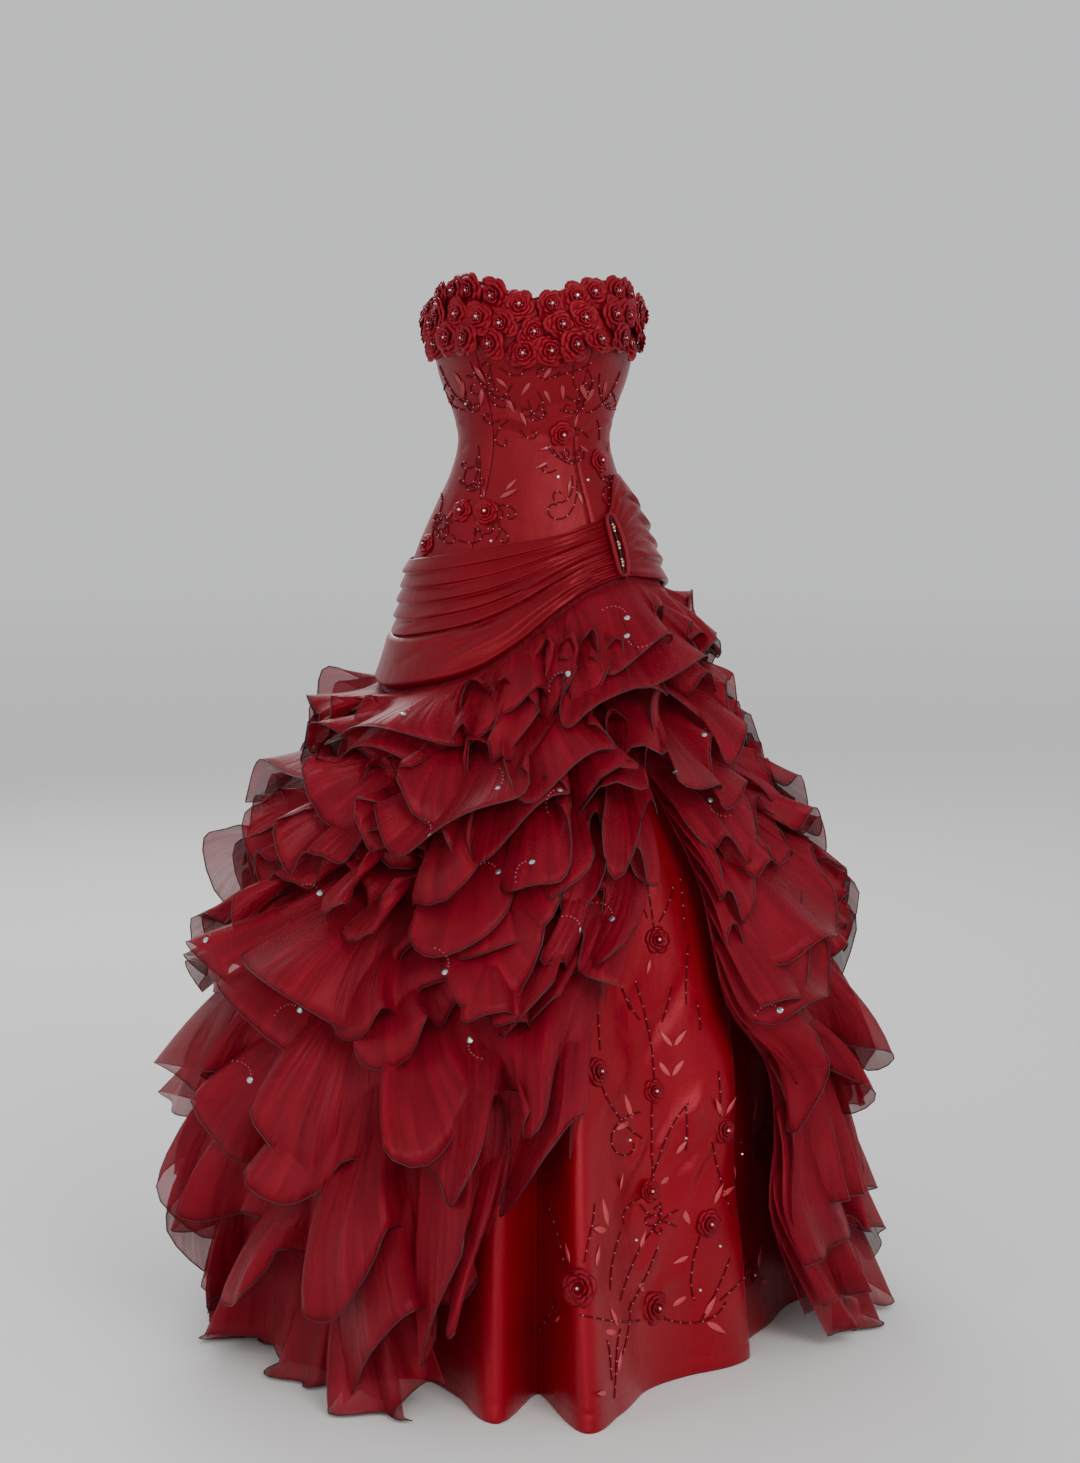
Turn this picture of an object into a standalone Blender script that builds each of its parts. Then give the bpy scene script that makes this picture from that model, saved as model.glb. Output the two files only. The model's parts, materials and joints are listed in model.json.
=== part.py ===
"""A strapless ball gown, worn shape, hollow inside.

Satin bodice with a band of cloth roses, a pleated satin sash drawn to a jewelled ring,
a fluted satin underskirt, and an open organza overskirt that carries tiers of ruffles.
Metres, +Z up. The origin is at the waist, where the gown is held; the front faces -Y.
Angles are in degrees about Z: 0 is the centre front and +90 the wearer's left side (+X).
"""

import math
from collections import namedtuple

import bmesh
import bpy
from mathutils import Vector

# Driving sizes
WAIST_HEIGHT = 1.23
FLOOR = -WAIST_HEIGHT
SATIN_THICK = 0.0016
ORGANZA_THICK = 0.0012
SEAM_GAP = 0.0003
HIP_SEAM = -0.185
HIP_GAP = 0.0006
BODICE_RADIUS = 0.08
SASH_RADIUS = 0.10
SKIRT_RADIUS = 0.20
MITRE_LIMIT = 0.6
SHARP_EDGE = 40

# The satin form that the cloth is cut to, without its folds, from the neck down to the hem
Section = namedtuple("Section", "height right left front back")
SATIN_FORM = (
    Section(FLOOR, 0.350, 0.400, 0.430, 0.430),
    Section(-1.00, 0.368, 0.358, 0.400, 0.410),
    Section(-0.78, 0.338, 0.342, 0.345, 0.360),
    Section(-0.60, 0.294, 0.302, 0.285, 0.300),
    Section(-0.45, 0.243, 0.243, 0.225, 0.235),
    Section(-0.33, 0.203, 0.200, 0.170, 0.178),
    Section(-0.25, 0.186, 0.184, 0.141, 0.148),
    Section(-0.185, 0.173, 0.171, 0.121, 0.129),
    Section(-0.145, 0.160, 0.160, 0.111, 0.117),
    Section(-0.095, 0.138, 0.138, 0.098, 0.101),
    Section(-0.045, 0.115, 0.115, 0.089, 0.088),
    Section(0.000, 0.105, 0.105, 0.085, 0.080),
    Section(0.040, 0.113, 0.113, 0.089, 0.084),
    Section(0.085, 0.130, 0.129, 0.099, 0.092),
    Section(0.135, 0.140, 0.139, 0.106, 0.097),
    Section(0.170, 0.142, 0.142, 0.103, 0.096),
    Section(0.200, 0.134, 0.135, 0.095, 0.090),
    Section(0.240, 0.118, 0.120, 0.083, 0.080),
)
# How far the overskirt stands out from the satin form
Standoff = namedtuple("Standoff", "height out")
OVERSKIRT_STANDOFF = (
    Standoff(FLOOR, 0.027),
    Standoff(-0.90, 0.044),
    Standoff(-0.60, 0.035),
    Standoff(-0.40, 0.014),
    Standoff(-0.30, 0.0042),
    Standoff(-0.21, 0.0024),
    Standoff(-0.10, 0.0022),
)

# Neckline and cups
NeckPoint = namedtuple("NeckPoint", "angle height")
NECKLINE = (
    NeckPoint(0, 0.190),
    NeckPoint(14, 0.200),
    NeckPoint(36, 0.214),
    NeckPoint(62, 0.211),
    NeckPoint(90, 0.184),
    NeckPoint(130, 0.158),
    NeckPoint(180, 0.150),
)
CUP_ANGLE = 34
CUP_SPREAD = 22
CUP_HEIGHT = 0.135
CUP_RISE = 0.045
CUP_OUT = 0.014

# Bodice panels, from the centre front round to the centre back
Panel = namedtuple("Panel", "name start end columns")
BODICE_PANELS = (
    Panel("bodice_centre_front", -32, 32, 8),
    Panel("bodice_side_front_left", 32, 90, 6),
    Panel("bodice_side_back_left", 90, 138, 5),
    Panel("bodice_back_left", 138, 180, 4),
    Panel("bodice_back_right", 180, 222, 4),
    Panel("bodice_side_back_right", 222, 270, 5),
    Panel("bodice_side_front_right", 270, 328, 6),
)
BODICE_ROWS = 8

# Cloth roses, each in a six-sided cell, set in staggered rows that touch
ROSE_STEP = 18.0
ROSE_ROW_DROP = 0.0335
ROSE_FIRST_DROP = 0.012
ROSE_BACKING = 0.0012
ROSE_GAP = 0.0020
ROSE_PARTING = 0.46
RoseRow = namedtuple("RoseRow", "shift last_angle")
ROSE_ROWS = (RoseRow(0.5, 100), RoseRow(0.0, 100), RoseRow(0.5, 70))
RoseRing = namedtuple("RoseRing", "share rise petal_lift turn")
ROSE_RINGS = (
    RoseRing(0.84, 0.0095, 0.0025, 0),
    RoseRing(0.56, 0.0065, 0.0010, 25),
    RoseRing(0.34, 0.0130, 0.0015, 50),
)
ROSE_CENTRE_RISE = 0.0080
ROSE_GROUPS = (
    ("roses_side_right", -180, -50),
    ("roses_front_right", -50, -1),
    ("roses_front_left", -1, 50),
    ("roses_side_left", 50, 180),
)

# The sash: where its edges lie round the hips, and its pleats
SashEdge = namedtuple("SashEdge", "angle top bottom")
RING_ANGLE = 43
SASH_EDGES = (
    SashEdge(-180, -0.135, -0.290),
    SashEdge(-135, -0.157, -0.318),
    SashEdge(-90, -0.166, -0.334),
    SashEdge(-66, -0.163, -0.341),
    SashEdge(-42, -0.155, -0.330),
    SashEdge(-22, -0.146, -0.309),
    SashEdge(-5, -0.138, -0.271),
    SashEdge(9, -0.130, -0.232),
    SashEdge(24, -0.118, -0.203),
    SashEdge(RING_ANGLE, -0.100, -0.186),
    SashEdge(60, -0.056, -0.190),
    SashEdge(74, -0.048, -0.194),
    SashEdge(90, -0.068, -0.200),
    SashEdge(135, -0.100, -0.242),
    SashEdge(180, -0.135, -0.290),
)
SASH_OUT = 0.0040
SWAG_SHARE = 0.40
SashPart = namedtuple("SashPart", "name start end low high pleats depth columns")
SASH_PARTS = (
    SashPart("sash_front_pleats", -90, 41.5, SWAG_SHARE, 1.0, 5, 0.0055, 14),
    SashPart("sash_front_swag", -90, 41.5, 0.0, SWAG_SHARE, 2, 0.0120, 14),
    SashPart("sash_side_fan", 44.5, 118, 0.0, 1.0, 5, 0.0075, 8),
    SashPart("sash_back", 118, 270, 0.0, 1.0, 4, 0.0055, 13),
)
PLEAT_FOOT = 0.001
PLEAT_EDGE = 0.26
SWAG_PARTING = 0.002
GATHER_SPREAD = 26
GATHER_FLATTENS = 0.75

# The satin-covered ring that the sash runs through, and the jewels across its gap
RING_HALF_HEIGHT = 0.041
RING_HALF_WIDTH = 0.0095
RING_SQUARENESS = 0.6
RING_RADIUS = 0.0034
RING_OUT = 0.0128
RING_STEPS = 20
RING_SIDES = 6
JEWEL_COUNT = 3
JEWEL_RADIUS = 0.0036
JEWEL_THREAD_RADIUS = 0.0012
JEWEL_SIDES = 6
JEWEL_STEPS = 13

# Underskirt folds at the hem: how far each crest or valley stands from the satin form
Fold = namedtuple("Fold", "angle out")
HEM_FOLDS = (
    Fold(-180, -0.045), Fold(-164, 0.018), Fold(-148, -0.045), Fold(-132, 0.016),
    Fold(-115, -0.050), Fold(-100, 0.016), Fold(-86, -0.040), Fold(-72, 0.018),
    Fold(-57, -0.050), Fold(-42, 0.014), Fold(-28, -0.040), Fold(-16, 0.000),
    Fold(-6, 0.082), Fold(1, -0.030), Fold(7, 0.116), Fold(14, 0.060),
    Fold(22, -0.010), Fold(33, -0.034), Fold(50, -0.025), Fold(58, -0.060),
    Fold(72, -0.055), Fold(85, -0.040), Fold(97, 0.012), Fold(115, -0.050),
    Fold(131, 0.016), Fold(147, -0.045), Fold(163, 0.018), Fold(180, -0.045),
)
FOLD_START = -0.30
FOLD_EASE = 1.2
UNDERSKIRT_PANELS = (
    ("underskirt_front", 1, 58),
    ("underskirt_left_side", 58, 115),
    ("underskirt_left_back", 115, 180),
    ("underskirt_right_back", -180, -115),
    ("underskirt_right_side", -115, -57),
    ("underskirt_right_front", -57, 1),
)
UNDERSKIRT_HEIGHTS = (FLOOR, -1.05, -0.88, -0.70, -0.52, -0.37, -0.27, HIP_SEAM - HIP_GAP)

# How far the overskirt is pushed out at its hem where it covers the front folds
FRONT_PUSH = (
    Fold(-180, 0.0), Fold(-48, 0.0), Fold(-24, 0.012), Fold(-6, 0.058), Fold(7, 0.092),
    Fold(20, 0.050), Fold(38, 0.008), Fold(60, 0.0), Fold(180, 0.0),
)
# The overskirt parts at the front, to the right and left of this seam
OPENING_SEAM = 34
Opening = namedtuple("Opening", "height to_right to_left")
OVERSKIRT_OPENING = (
    Opening(FLOOR, 45, 30),
    Opening(-1.03, 36, 18),
    Opening(-0.93, 30, 21),
    Opening(-0.83, 26, 19),
    Opening(-0.75, 24, 9),
    Opening(-0.67, 19, 7),
    Opening(-0.58, 9, 7),
    Opening(-0.50, 4, 4),
    Opening(-0.43, 0, 0),
)
OVERSKIRT_TUCK = 0.014
SASH_CLEAR = 0.006
HEM_CLEAR = 0.004
OVERSKIRT_LINES = 48
OVERSKIRT_PARTING = 0.00015
ON_LINE = 1e-6
Gore = namedtuple("Gore", "name first_line last_line")
OVERSKIRT_GORES = (
    Gore("overskirt_left_front", 0, 9),
    Gore("overskirt_left_back", 9, 17),
    Gore("overskirt_back", 17, 27),
    Gore("overskirt_right_back", 27, 37),
    Gore("overskirt_right_front", 37, OVERSKIRT_LINES),
)
OVERSKIRT_HEIGHTS = (FLOOR + 0.045, -0.955, -0.81, -0.66, -0.53, -0.43, -0.36)

# Ruffle tiers: root height at the wearer's right and left sides, how far each reaches out and
# drops (as a share of the way to the next root), its waves, and how far it hangs down: at 0 it
# stands out and waves up and down, at 1 it hangs and waves in and out
Tier = namedtuple("Tier", "right_root left_root reach drop wave waves phase hang")
RUFFLE_TIERS = (
    Tier(-0.346, -0.208, 0.052, 0.95, 0.026, 12, 0.0, 0.35),
    Tier(-0.405, -0.305, 0.060, 1.00, 0.032, 12, 0.5, 0.30),
    Tier(-0.485, -0.410, 0.066, 1.00, 0.036, 16, 0.0, 0.35),
    Tier(-0.580, -0.530, 0.068, 1.05, 0.038, 16, 0.5, 0.50),
    Tier(-0.695, -0.665, 0.066, 1.20, 0.040, 16, 0.17, 0.70),
    Tier(-0.835, -0.815, 0.062, 1.35, 0.042, 16, 0.67, 0.90),
    Tier(-0.990, -0.985, 0.044, 1.45, 0.032, 16, 0.33, 1.00),
)
LAST_LINE = (-1.150, -1.120)
LAYER_GAP = 0.0009
RUFFLE_STEPS = (1.0, 0.5, 0.0)
RUFFLE_COLUMNS = 96
PLACE_TURNS = 4
ROUNDNESS = 2.2
FULLNESS = 1.2
OVERHANG = 0.070
CREST_DROP = 0.16
SIDE_LEAN = 0.15
DRIFT = 0.008
DRIFT_WAVES = 5
SWAY = 0.034
SWAY_WAVES = 5
SWAY_STEP = 0.3
SWAY_GROWTH = 0.3
SIZE_CHANGE = 0.12
SIZE_WAVES = 7
SIZE_STEP = 0.7
END_SPREAD = 0.07
END_LIFT = 0.60
RUFFLE_PARTS = ("left", "back", "right")

# Cloth colours: linear red, green and blue, with roughness and metallic values
Cloth = namedtuple("Cloth", "colour roughness metallic")
CLOTHS = {
    "satin": Cloth((0.34, 0.012, 0.018, 1), 0.38, 0.0),
    "organza": Cloth((0.22, 0.008, 0.014, 1), 0.55, 0.0),
    "rose_cloth": Cloth((0.30, 0.010, 0.015, 1), 0.50, 0.0),
    "jewel": Cloth((0.55, 0.50, 0.48, 1), 0.15, 0.9),
}


def clear_scene():
    for item in list(bpy.data.objects):
        bpy.data.objects.remove(item)


def material(name):
    """A Principled material for one of the cloths."""
    found = bpy.data.materials.get(name)
    if found:
        return found
    made = bpy.data.materials.new(name)
    made.use_nodes = True
    shader = made.node_tree.nodes["Principled BSDF"]
    cloth = CLOTHS[name]
    shader.inputs["Base Color"].default_value = cloth.colour
    shader.inputs["Roughness"].default_value = cloth.roughness
    shader.inputs["Metallic"].default_value = cloth.metallic
    return made


def smooth(table, column, at):
    """The value of a column at a place along the table's first column, on a smooth curve."""
    keys = [row[0] for row in table]
    values = [getattr(row, column) for row in table]
    at = min(max(at, keys[0]), keys[-1])
    i = next(n for n in range(len(keys) - 1) if at <= keys[n + 1])

    def slope(n):
        before, after = max(n - 1, 0), min(n + 1, len(keys) - 1)
        return (values[after] - values[before]) / (keys[after] - keys[before])

    span = keys[i + 1] - keys[i]
    t = (at - keys[i]) / span
    rise = 3 * t * t - 2 * t**3
    lead_in = (t**3 - 2 * t * t + t) * span * slope(i)
    lead_out = (t**3 - t * t) * span * slope(i + 1)
    return values[i] * (1 - rise) + values[i + 1] * rise + lead_in + lead_out


def turned(angle):
    """The angle brought to between -180 and 180 degrees."""
    return (angle + 180) % 360 - 180


def outward(angle):
    return Vector((math.sin(math.radians(angle)), -math.cos(math.radians(angle)), 0))


def cup(angle, z):
    """How far the two cups stand out of the bodice."""
    round_it = (abs(turned(angle)) - CUP_ANGLE) / CUP_SPREAD
    up = (z - CUP_HEIGHT) / CUP_RISE
    return CUP_OUT * math.exp(-round_it * round_it - up * up)


def form(angle, z, out=0.0):
    """A point that distance out from the satin form, at an angle and a height."""
    side = outward(angle)
    across = smooth(SATIN_FORM, "right" if side.x < 0 else "left", z)
    along = smooth(SATIN_FORM, "front" if side.y < 0 else "back", z)
    return Vector((across * side.x, along * side.y, z)) + side * (out + cup(angle, z))


def fold_share(z):
    """How much of the hem's folds shows at a height: none at the hips, all at the floor."""
    share = (FOLD_START - z) / (FOLD_START - FLOOR)
    return max(share, 0.0) ** FOLD_EASE


def underskirt_point(angle, z):
    return form(angle, z, fold_share(z) * smooth(HEM_FOLDS, "out", turned(angle)))


def sash_edge(angle, side):
    return smooth(SASH_EDGES, side, turned(angle))


def overskirt_angle(share, z):
    """The angle at a share of the way round from the opening's left edge to its right."""
    left = OPENING_SEAM + max(smooth(OVERSKIRT_OPENING, "to_left", z), 0.0)
    right = OPENING_SEAM + 360 - max(smooth(OVERSKIRT_OPENING, "to_right", z), 0.0)
    return left + share * (right - left)


def overskirt_top(share):
    return sash_edge(overskirt_angle(share, 0), "bottom") + OVERSKIRT_TUCK


def overskirt_corner(share, row):
    """The point where a line down the overskirt meets one of its rows, from the hem up."""
    z = (*OVERSKIRT_HEIGHTS, overskirt_top(share))[row]
    angle = overskirt_angle(share, z)
    push = fold_share(z) * smooth(FRONT_PUSH, "out", turned(angle))
    return form(angle, z, smooth(OVERSKIRT_STANDOFF, "out", z) + push)


def overskirt_point(share, z, out=0.0):
    """A point that distance out from the overskirt's flat facets."""
    line = math.floor(share * OVERSKIRT_LINES + ON_LINE)
    over = share * OVERSKIRT_LINES - line
    left, right = line / OVERSKIRT_LINES, (line + 1) / OVERSKIRT_LINES
    row = sum(1 for height in OVERSKIRT_HEIGHTS[1:] if z > height)
    a, b = overskirt_corner(left, row), overskirt_corner(right, row)
    d, c = overskirt_corner(left, row + 1), overskirt_corner(right, row + 1)
    if not dips(a, b, c, d):
        a, b, c, d, over = b, a, d, c, 1 - over
    up = (z - b.z) / (c.z - b.z)
    if up <= over:
        on_it = a + (b - a) * over + (c - b) * up
    else:
        up = (z - a.z - over * (c.z - d.z)) / (d.z - a.z)
        on_it = a + (d - a) * up + (c - d) * over
    return on_it + outward(overskirt_angle(share, z)) * out


def around(face, r, c):
    return face[r][c], face[r][c + 1], face[r + 1][c + 1], face[r + 1][c]


def dips(a, b, c, d):
    """Whether a four-sided facet lies farther in along its diagonal a-c than along b-d."""
    return ((a + c) - (b + d)).dot((b - a).cross(d - a)) < 0


def wall(name, surface, columns, rows, thickness, cloth):
    """A closed cloth wall of an even thickness inside the outer face surface(u, v).

    The wall's normals also count the facets just past its side edges, so that two walls
    cut from one surface stay parted through their whole thickness.
    """
    before, after = 2 * columns[0] - columns[1], 2 * columns[-1] - columns[-2]
    grid = [[surface(u, v) for u in (before, *columns, after)] for v in rows]
    last_row, last_column = len(rows) - 1, len(columns) - 1
    maker = bmesh.new()
    outer, inner = [], []
    for r, row in enumerate(grid):
        outer.append([])
        inner.append([])
        for c in range(1, last_column + 2):
            here = row[c]
            ups = [grid[n + 1][c] - grid[n][c] for n in {max(r - 1, 0), min(r, last_row - 1)}]
            sides = (here - row[c - 1], row[c + 1] - here)
            facets = [side.cross(up).normalized() for side in sides for up in ups]
            normal = sum(facets, Vector()).normalized()
            mitre = 1 / max(min(normal.dot(facet) for facet in facets), MITRE_LIMIT)
            outer[r].append(maker.verts.new(here))
            inner[r].append(maker.verts.new(here - normal * thickness * mitre))
    for r in range(last_row):
        for c in range(last_column):
            flip = not dips(*(v.co for v in around(outer, r, c)))
            for face in (outer, inner):
                corners = around(face, r, c)
                for n in (flip, flip + 2):
                    maker.faces.new((corners[n], corners[(n + 1) % 4], corners[(n + 2) % 4]))
        for c in (0, last_column):
            maker.faces.new((outer[r][c], outer[r + 1][c], inner[r + 1][c], inner[r][c]))
    for c in range(last_column):
        for r in (0, last_row):
            maker.faces.new((outer[r][c], outer[r][c + 1], inner[r][c + 1], inner[r][c]))
    return add_object(name, maker, cloth)


def add_object(name, maker, cloth):
    """A named object from a bmesh, facing out and shaded smooth but for its sharp edges."""
    bmesh.ops.recalc_face_normals(maker, faces=maker.faces)
    mesh = bpy.data.meshes.new(name)
    maker.to_mesh(mesh)
    maker.free()
    mesh.materials.append(material(cloth))
    mesh.shade_smooth()
    mesh.set_sharp_from_angle(angle=math.radians(SHARP_EDGE))
    made = bpy.data.objects.new(name, mesh)
    bpy.context.scene.collection.objects.link(made)
    return made


def steps(start, end, count):
    return [start + (end - start) * n / count for n in range(count + 1)]


def parted(columns, radius):
    """The columns with half a seam's gap taken off each end."""
    half = math.degrees(SEAM_GAP / 2 / radius)
    return [columns[0] + half, *columns[1:-1], columns[-1] - half]


def parted_share(columns):
    """The same for columns that are shares of the way round the overskirt."""
    return [columns[0] + OVERSKIRT_PARTING, *columns[1:-1], columns[-1] - OVERSKIRT_PARTING]


def neck_height(angle):
    return smooth(NECKLINE, "height", abs(turned(angle)))


def build_bodice():
    """Seven boned satin panels, from the neckline to the hip seam."""

    def surface(angle, v):
        return form(angle, HIP_SEAM + v * (neck_height(angle) - HIP_SEAM))

    for panel in BODICE_PANELS:
        columns = parted(steps(panel.start, panel.end, panel.columns), BODICE_RADIUS)
        wall(panel.name, surface, columns, steps(0, 1, BODICE_ROWS), SATIN_THICK, "satin")


class RoseBand:
    """A band of roses in touching cells, raised on a plain backing."""

    cell_width = ROSE_STEP / math.sqrt(3)
    cell_height = ROSE_ROW_DROP / 1.5

    def __init__(self, nudge):
        self.maker = bmesh.new()
        self.nudge = nudge
        self.corners = {}
        self.rim = {}

    def point(self, angle, drop, out):
        place = form(angle + self.nudge, neck_height(angle) - drop, ROSE_GAP + out)
        return self.maker.verts.new(place)

    def corner(self, angle, drop):
        """The front and back points of a cell's corner, shared with the cells beside it."""
        key = (round(angle * 10), round(drop * 1e4))
        if key not in self.corners:
            self.corners[key] = (self.point(angle, drop, ROSE_BACKING), self.point(angle, drop, 0))
        return key

    def ring_point(self, angle, drop, ring, n):
        turn = math.radians(60 * n + ring.turn)
        across = self.cell_width * ring.share * math.sin(turn)
        up = self.cell_height * ring.share * math.cos(turn)
        lift = ring.petal_lift if n % 2 else -ring.petal_lift
        return self.point(angle + across, drop - up, ring.rise + lift)

    def add_rose(self, angle, drop):
        keys = []
        for n in range(6):
            turn = math.radians(60 * n)
            across, up = self.cell_width * math.sin(turn), self.cell_height * math.cos(turn)
            keys.append(self.corner(angle + across, drop - up))
        before = [self.corners[key][0] for key in keys]
        for ring in ROSE_RINGS:
            now = [self.ring_point(angle, drop, ring, n) for n in range(6)]
            for n in range(6):
                m = (n + 1) % 6
                self.maker.faces.new((before[n], before[m], now[n]))
                self.maker.faces.new((before[m], now[m], now[n]))
            before = now
        centre = self.point(angle, drop, ROSE_CENTRE_RISE)
        middle = self.point(angle, drop, 0)
        for n in range(6):
            m = (n + 1) % 6
            self.maker.faces.new((before[n], before[m], centre))
            self.maker.faces.new((self.corners[keys[m]][1], self.corners[keys[n]][1], middle))
            side = (keys[n], keys[m])
            if side[::-1] in self.rim:
                del self.rim[side[::-1]]
            else:
                self.rim[side] = True

    def finish(self, name):
        for a, b in self.rim:
            front_a, back_a = self.corners[a]
            front_b, back_b = self.corners[b]
            self.maker.faces.new((front_b, front_a, back_a, back_b))
        return add_object(name, self.maker, "rose_cloth")


def build_roses():
    """The roses over the top of the bodice, one object for each group."""
    for order, (name, start, end) in enumerate(ROSE_GROUPS):
        band = RoseBand((order - 1.5) * ROSE_PARTING)
        for n, row in enumerate(ROSE_ROWS):
            most = math.ceil(row.last_angle / ROSE_STEP)
            for place in range(-most, most + 1):
                angle = (place + row.shift) * ROSE_STEP
                if start <= angle < end and abs(angle) < row.last_angle:
                    band.add_rose(angle, ROSE_FIRST_DROP + n * ROSE_ROW_DROP)
        band.finish(name)


def sash_point(angle, z, out=0.0):
    return form(angle, z, smooth(OVERSKIRT_STANDOFF, "out", z) + SASH_OUT + out)


def gather(angle):
    """How tightly the sash is drawn together at an angle: 1 beside the ring."""
    return math.exp(-(((turned(angle) - RING_ANGLE) / GATHER_SPREAD) ** 2))


def pleat(turn):
    """A pleat's rise: quick at its lower edge, then easing back to the next one above."""
    return turn / PLEAT_EDGE if turn < PLEAT_EDGE else (1 - turn) / (1 - PLEAT_EDGE)


def build_sash():
    """Pleated satin parts that run from the ring round the hips and back to it."""
    for part in SASH_PARTS:

        def surface(angle, v, part=part):
            low, high = sash_edge(angle, "bottom"), sash_edge(angle, "top")
            share = (v - part.low) / (part.high - part.low)
            depth = part.depth * (1 - GATHER_FLATTENS * gather(angle))
            return sash_point(angle, low + v * (high - low), depth * pleat(share * part.pleats % 1.0))

        places = [n + turn for n in range(part.pleats) for turn in (PLEAT_FOOT, PLEAT_EDGE)]
        places.append(part.pleats - PLEAT_FOOT)
        span = (part.high - part.low) / part.pleats
        rows = [part.low + place * span for place in places]
        rows[0] += SWAG_PARTING if part.low else 0.0
        columns = parted(steps(part.start, part.end, part.columns), SASH_RADIUS)
        wall(part.name, surface, columns, rows, SATIN_THICK, "satin")


def tube(name, centres, radii, sides, frame, cloth, closed):
    """A round tube through its centres; frame(n) gives the two directions across it."""
    maker = bmesh.new()
    rings = []
    for n, (centre, radius) in enumerate(zip(centres, radii)):
        first, second = frame(n)
        turns = steps(0, 2 * math.pi, sides)[:-1]
        rings.append([
            maker.verts.new(centre + radius * (first * math.cos(a) + second * math.sin(a)))
            for a in turns
        ])
    pairs = list(zip(rings, rings[1:]))
    if closed:
        pairs.append((rings[-1], rings[0]))
    for low, high in pairs:
        for n in range(sides):
            m = (n + 1) % sides
            maker.faces.new((low[n], low[m], high[m], high[n]))
    if not closed:
        maker.faces.new(rings[0])
        maker.faces.new(rings[-1])
    return add_object(name, maker, cloth)


def build_ring():
    """The tall narrow ring on the sash's drawn ends, and the jewelled bar inside it."""
    middle = (sash_edge(RING_ANGLE, "top") + sash_edge(RING_ANGLE, "bottom")) / 2
    side = (form(RING_ANGLE + 1, middle) - form(RING_ANGLE - 1, middle)).normalized()
    front = side.cross(Vector((0, 0, 1)))

    def centre_at(z):
        return form(RING_ANGLE, z) + front * RING_OUT

    def on_ring(turn):
        wide = math.copysign(abs(math.cos(turn)) ** RING_SQUARENESS, math.cos(turn))
        return centre_at(middle + RING_HALF_HEIGHT * math.sin(turn)) + side * RING_HALF_WIDTH * wide

    turns = steps(0, 2 * math.pi, RING_STEPS)[:-1]

    def across(n):
        along = (on_ring(turns[n] + 0.1) - on_ring(turns[n] - 0.1)).normalized()
        return front, along.cross(front).normalized()

    centres = [on_ring(turn) for turn in turns]
    tube("sash_ring", centres, [RING_RADIUS] * RING_STEPS, RING_SIDES, across, "satin", True)

    reach = RING_HALF_HEIGHT - RING_RADIUS - SEAM_GAP
    centres = [centre_at(z) for z in steps(middle - reach, middle + reach, JEWEL_STEPS - 1)]
    swell = [abs(math.sin(math.pi * JEWEL_COUNT * n / (JEWEL_STEPS - 1))) for n in range(JEWEL_STEPS)]
    radii = [JEWEL_THREAD_RADIUS + (JEWEL_RADIUS - JEWEL_THREAD_RADIUS) * s for s in swell]
    tube("jewel_bar", centres, radii, JEWEL_SIDES, lambda n: (side, front), "jewel", False)


def build_underskirt():
    """Six fluted satin panels from the hip seam to the floor, seamed in the valleys."""
    for name, start, end in UNDERSKIRT_PANELS:
        folds = [f.angle for f in HEM_FOLDS if start <= f.angle <= end]
        between = [(a + b) / 2 for a, b in zip(folds, folds[1:])]
        columns = parted(sorted(folds + between), SKIRT_RADIUS)
        wall(name, underskirt_point, columns, UNDERSKIRT_HEIGHTS, SATIN_THICK, "satin")


def build_overskirt():
    """Five organza gores. The two at the front part below the opening's apex."""
    rows = range(len(OVERSKIRT_HEIGHTS) + 1)
    for gore in OVERSKIRT_GORES:
        lines = range(gore.first_line, gore.last_line + 1)
        columns = parted_share([line / OVERSKIRT_LINES for line in lines])
        wall(gore.name, overskirt_corner, columns, rows, ORGANZA_THICK, "organza")


def between_sides(angle, right, left):
    """A value that goes from one side of the gown to the other with the angle."""
    share = (1 + math.sin(math.radians(angle))) / 2
    return right + share * (left - right)


def root_height(order, angle):
    """The height of a tier's root line, which climbs to the left and sways up and down."""
    if order < len(RUFFLE_TIERS):
        tier = RUFFLE_TIERS[order]
        level = between_sides(angle, tier.right_root, tier.left_root)
    else:
        level = between_sides(angle, *LAST_LINE)
    sway = SWAY * math.sin(math.radians(SWAY_WAVES * angle) + SWAY_STEP * order)
    level += sway * min(order * SWAY_GROWTH, 1)
    return min(level, sash_edge(angle, "bottom") - SASH_CLEAR)


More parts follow.
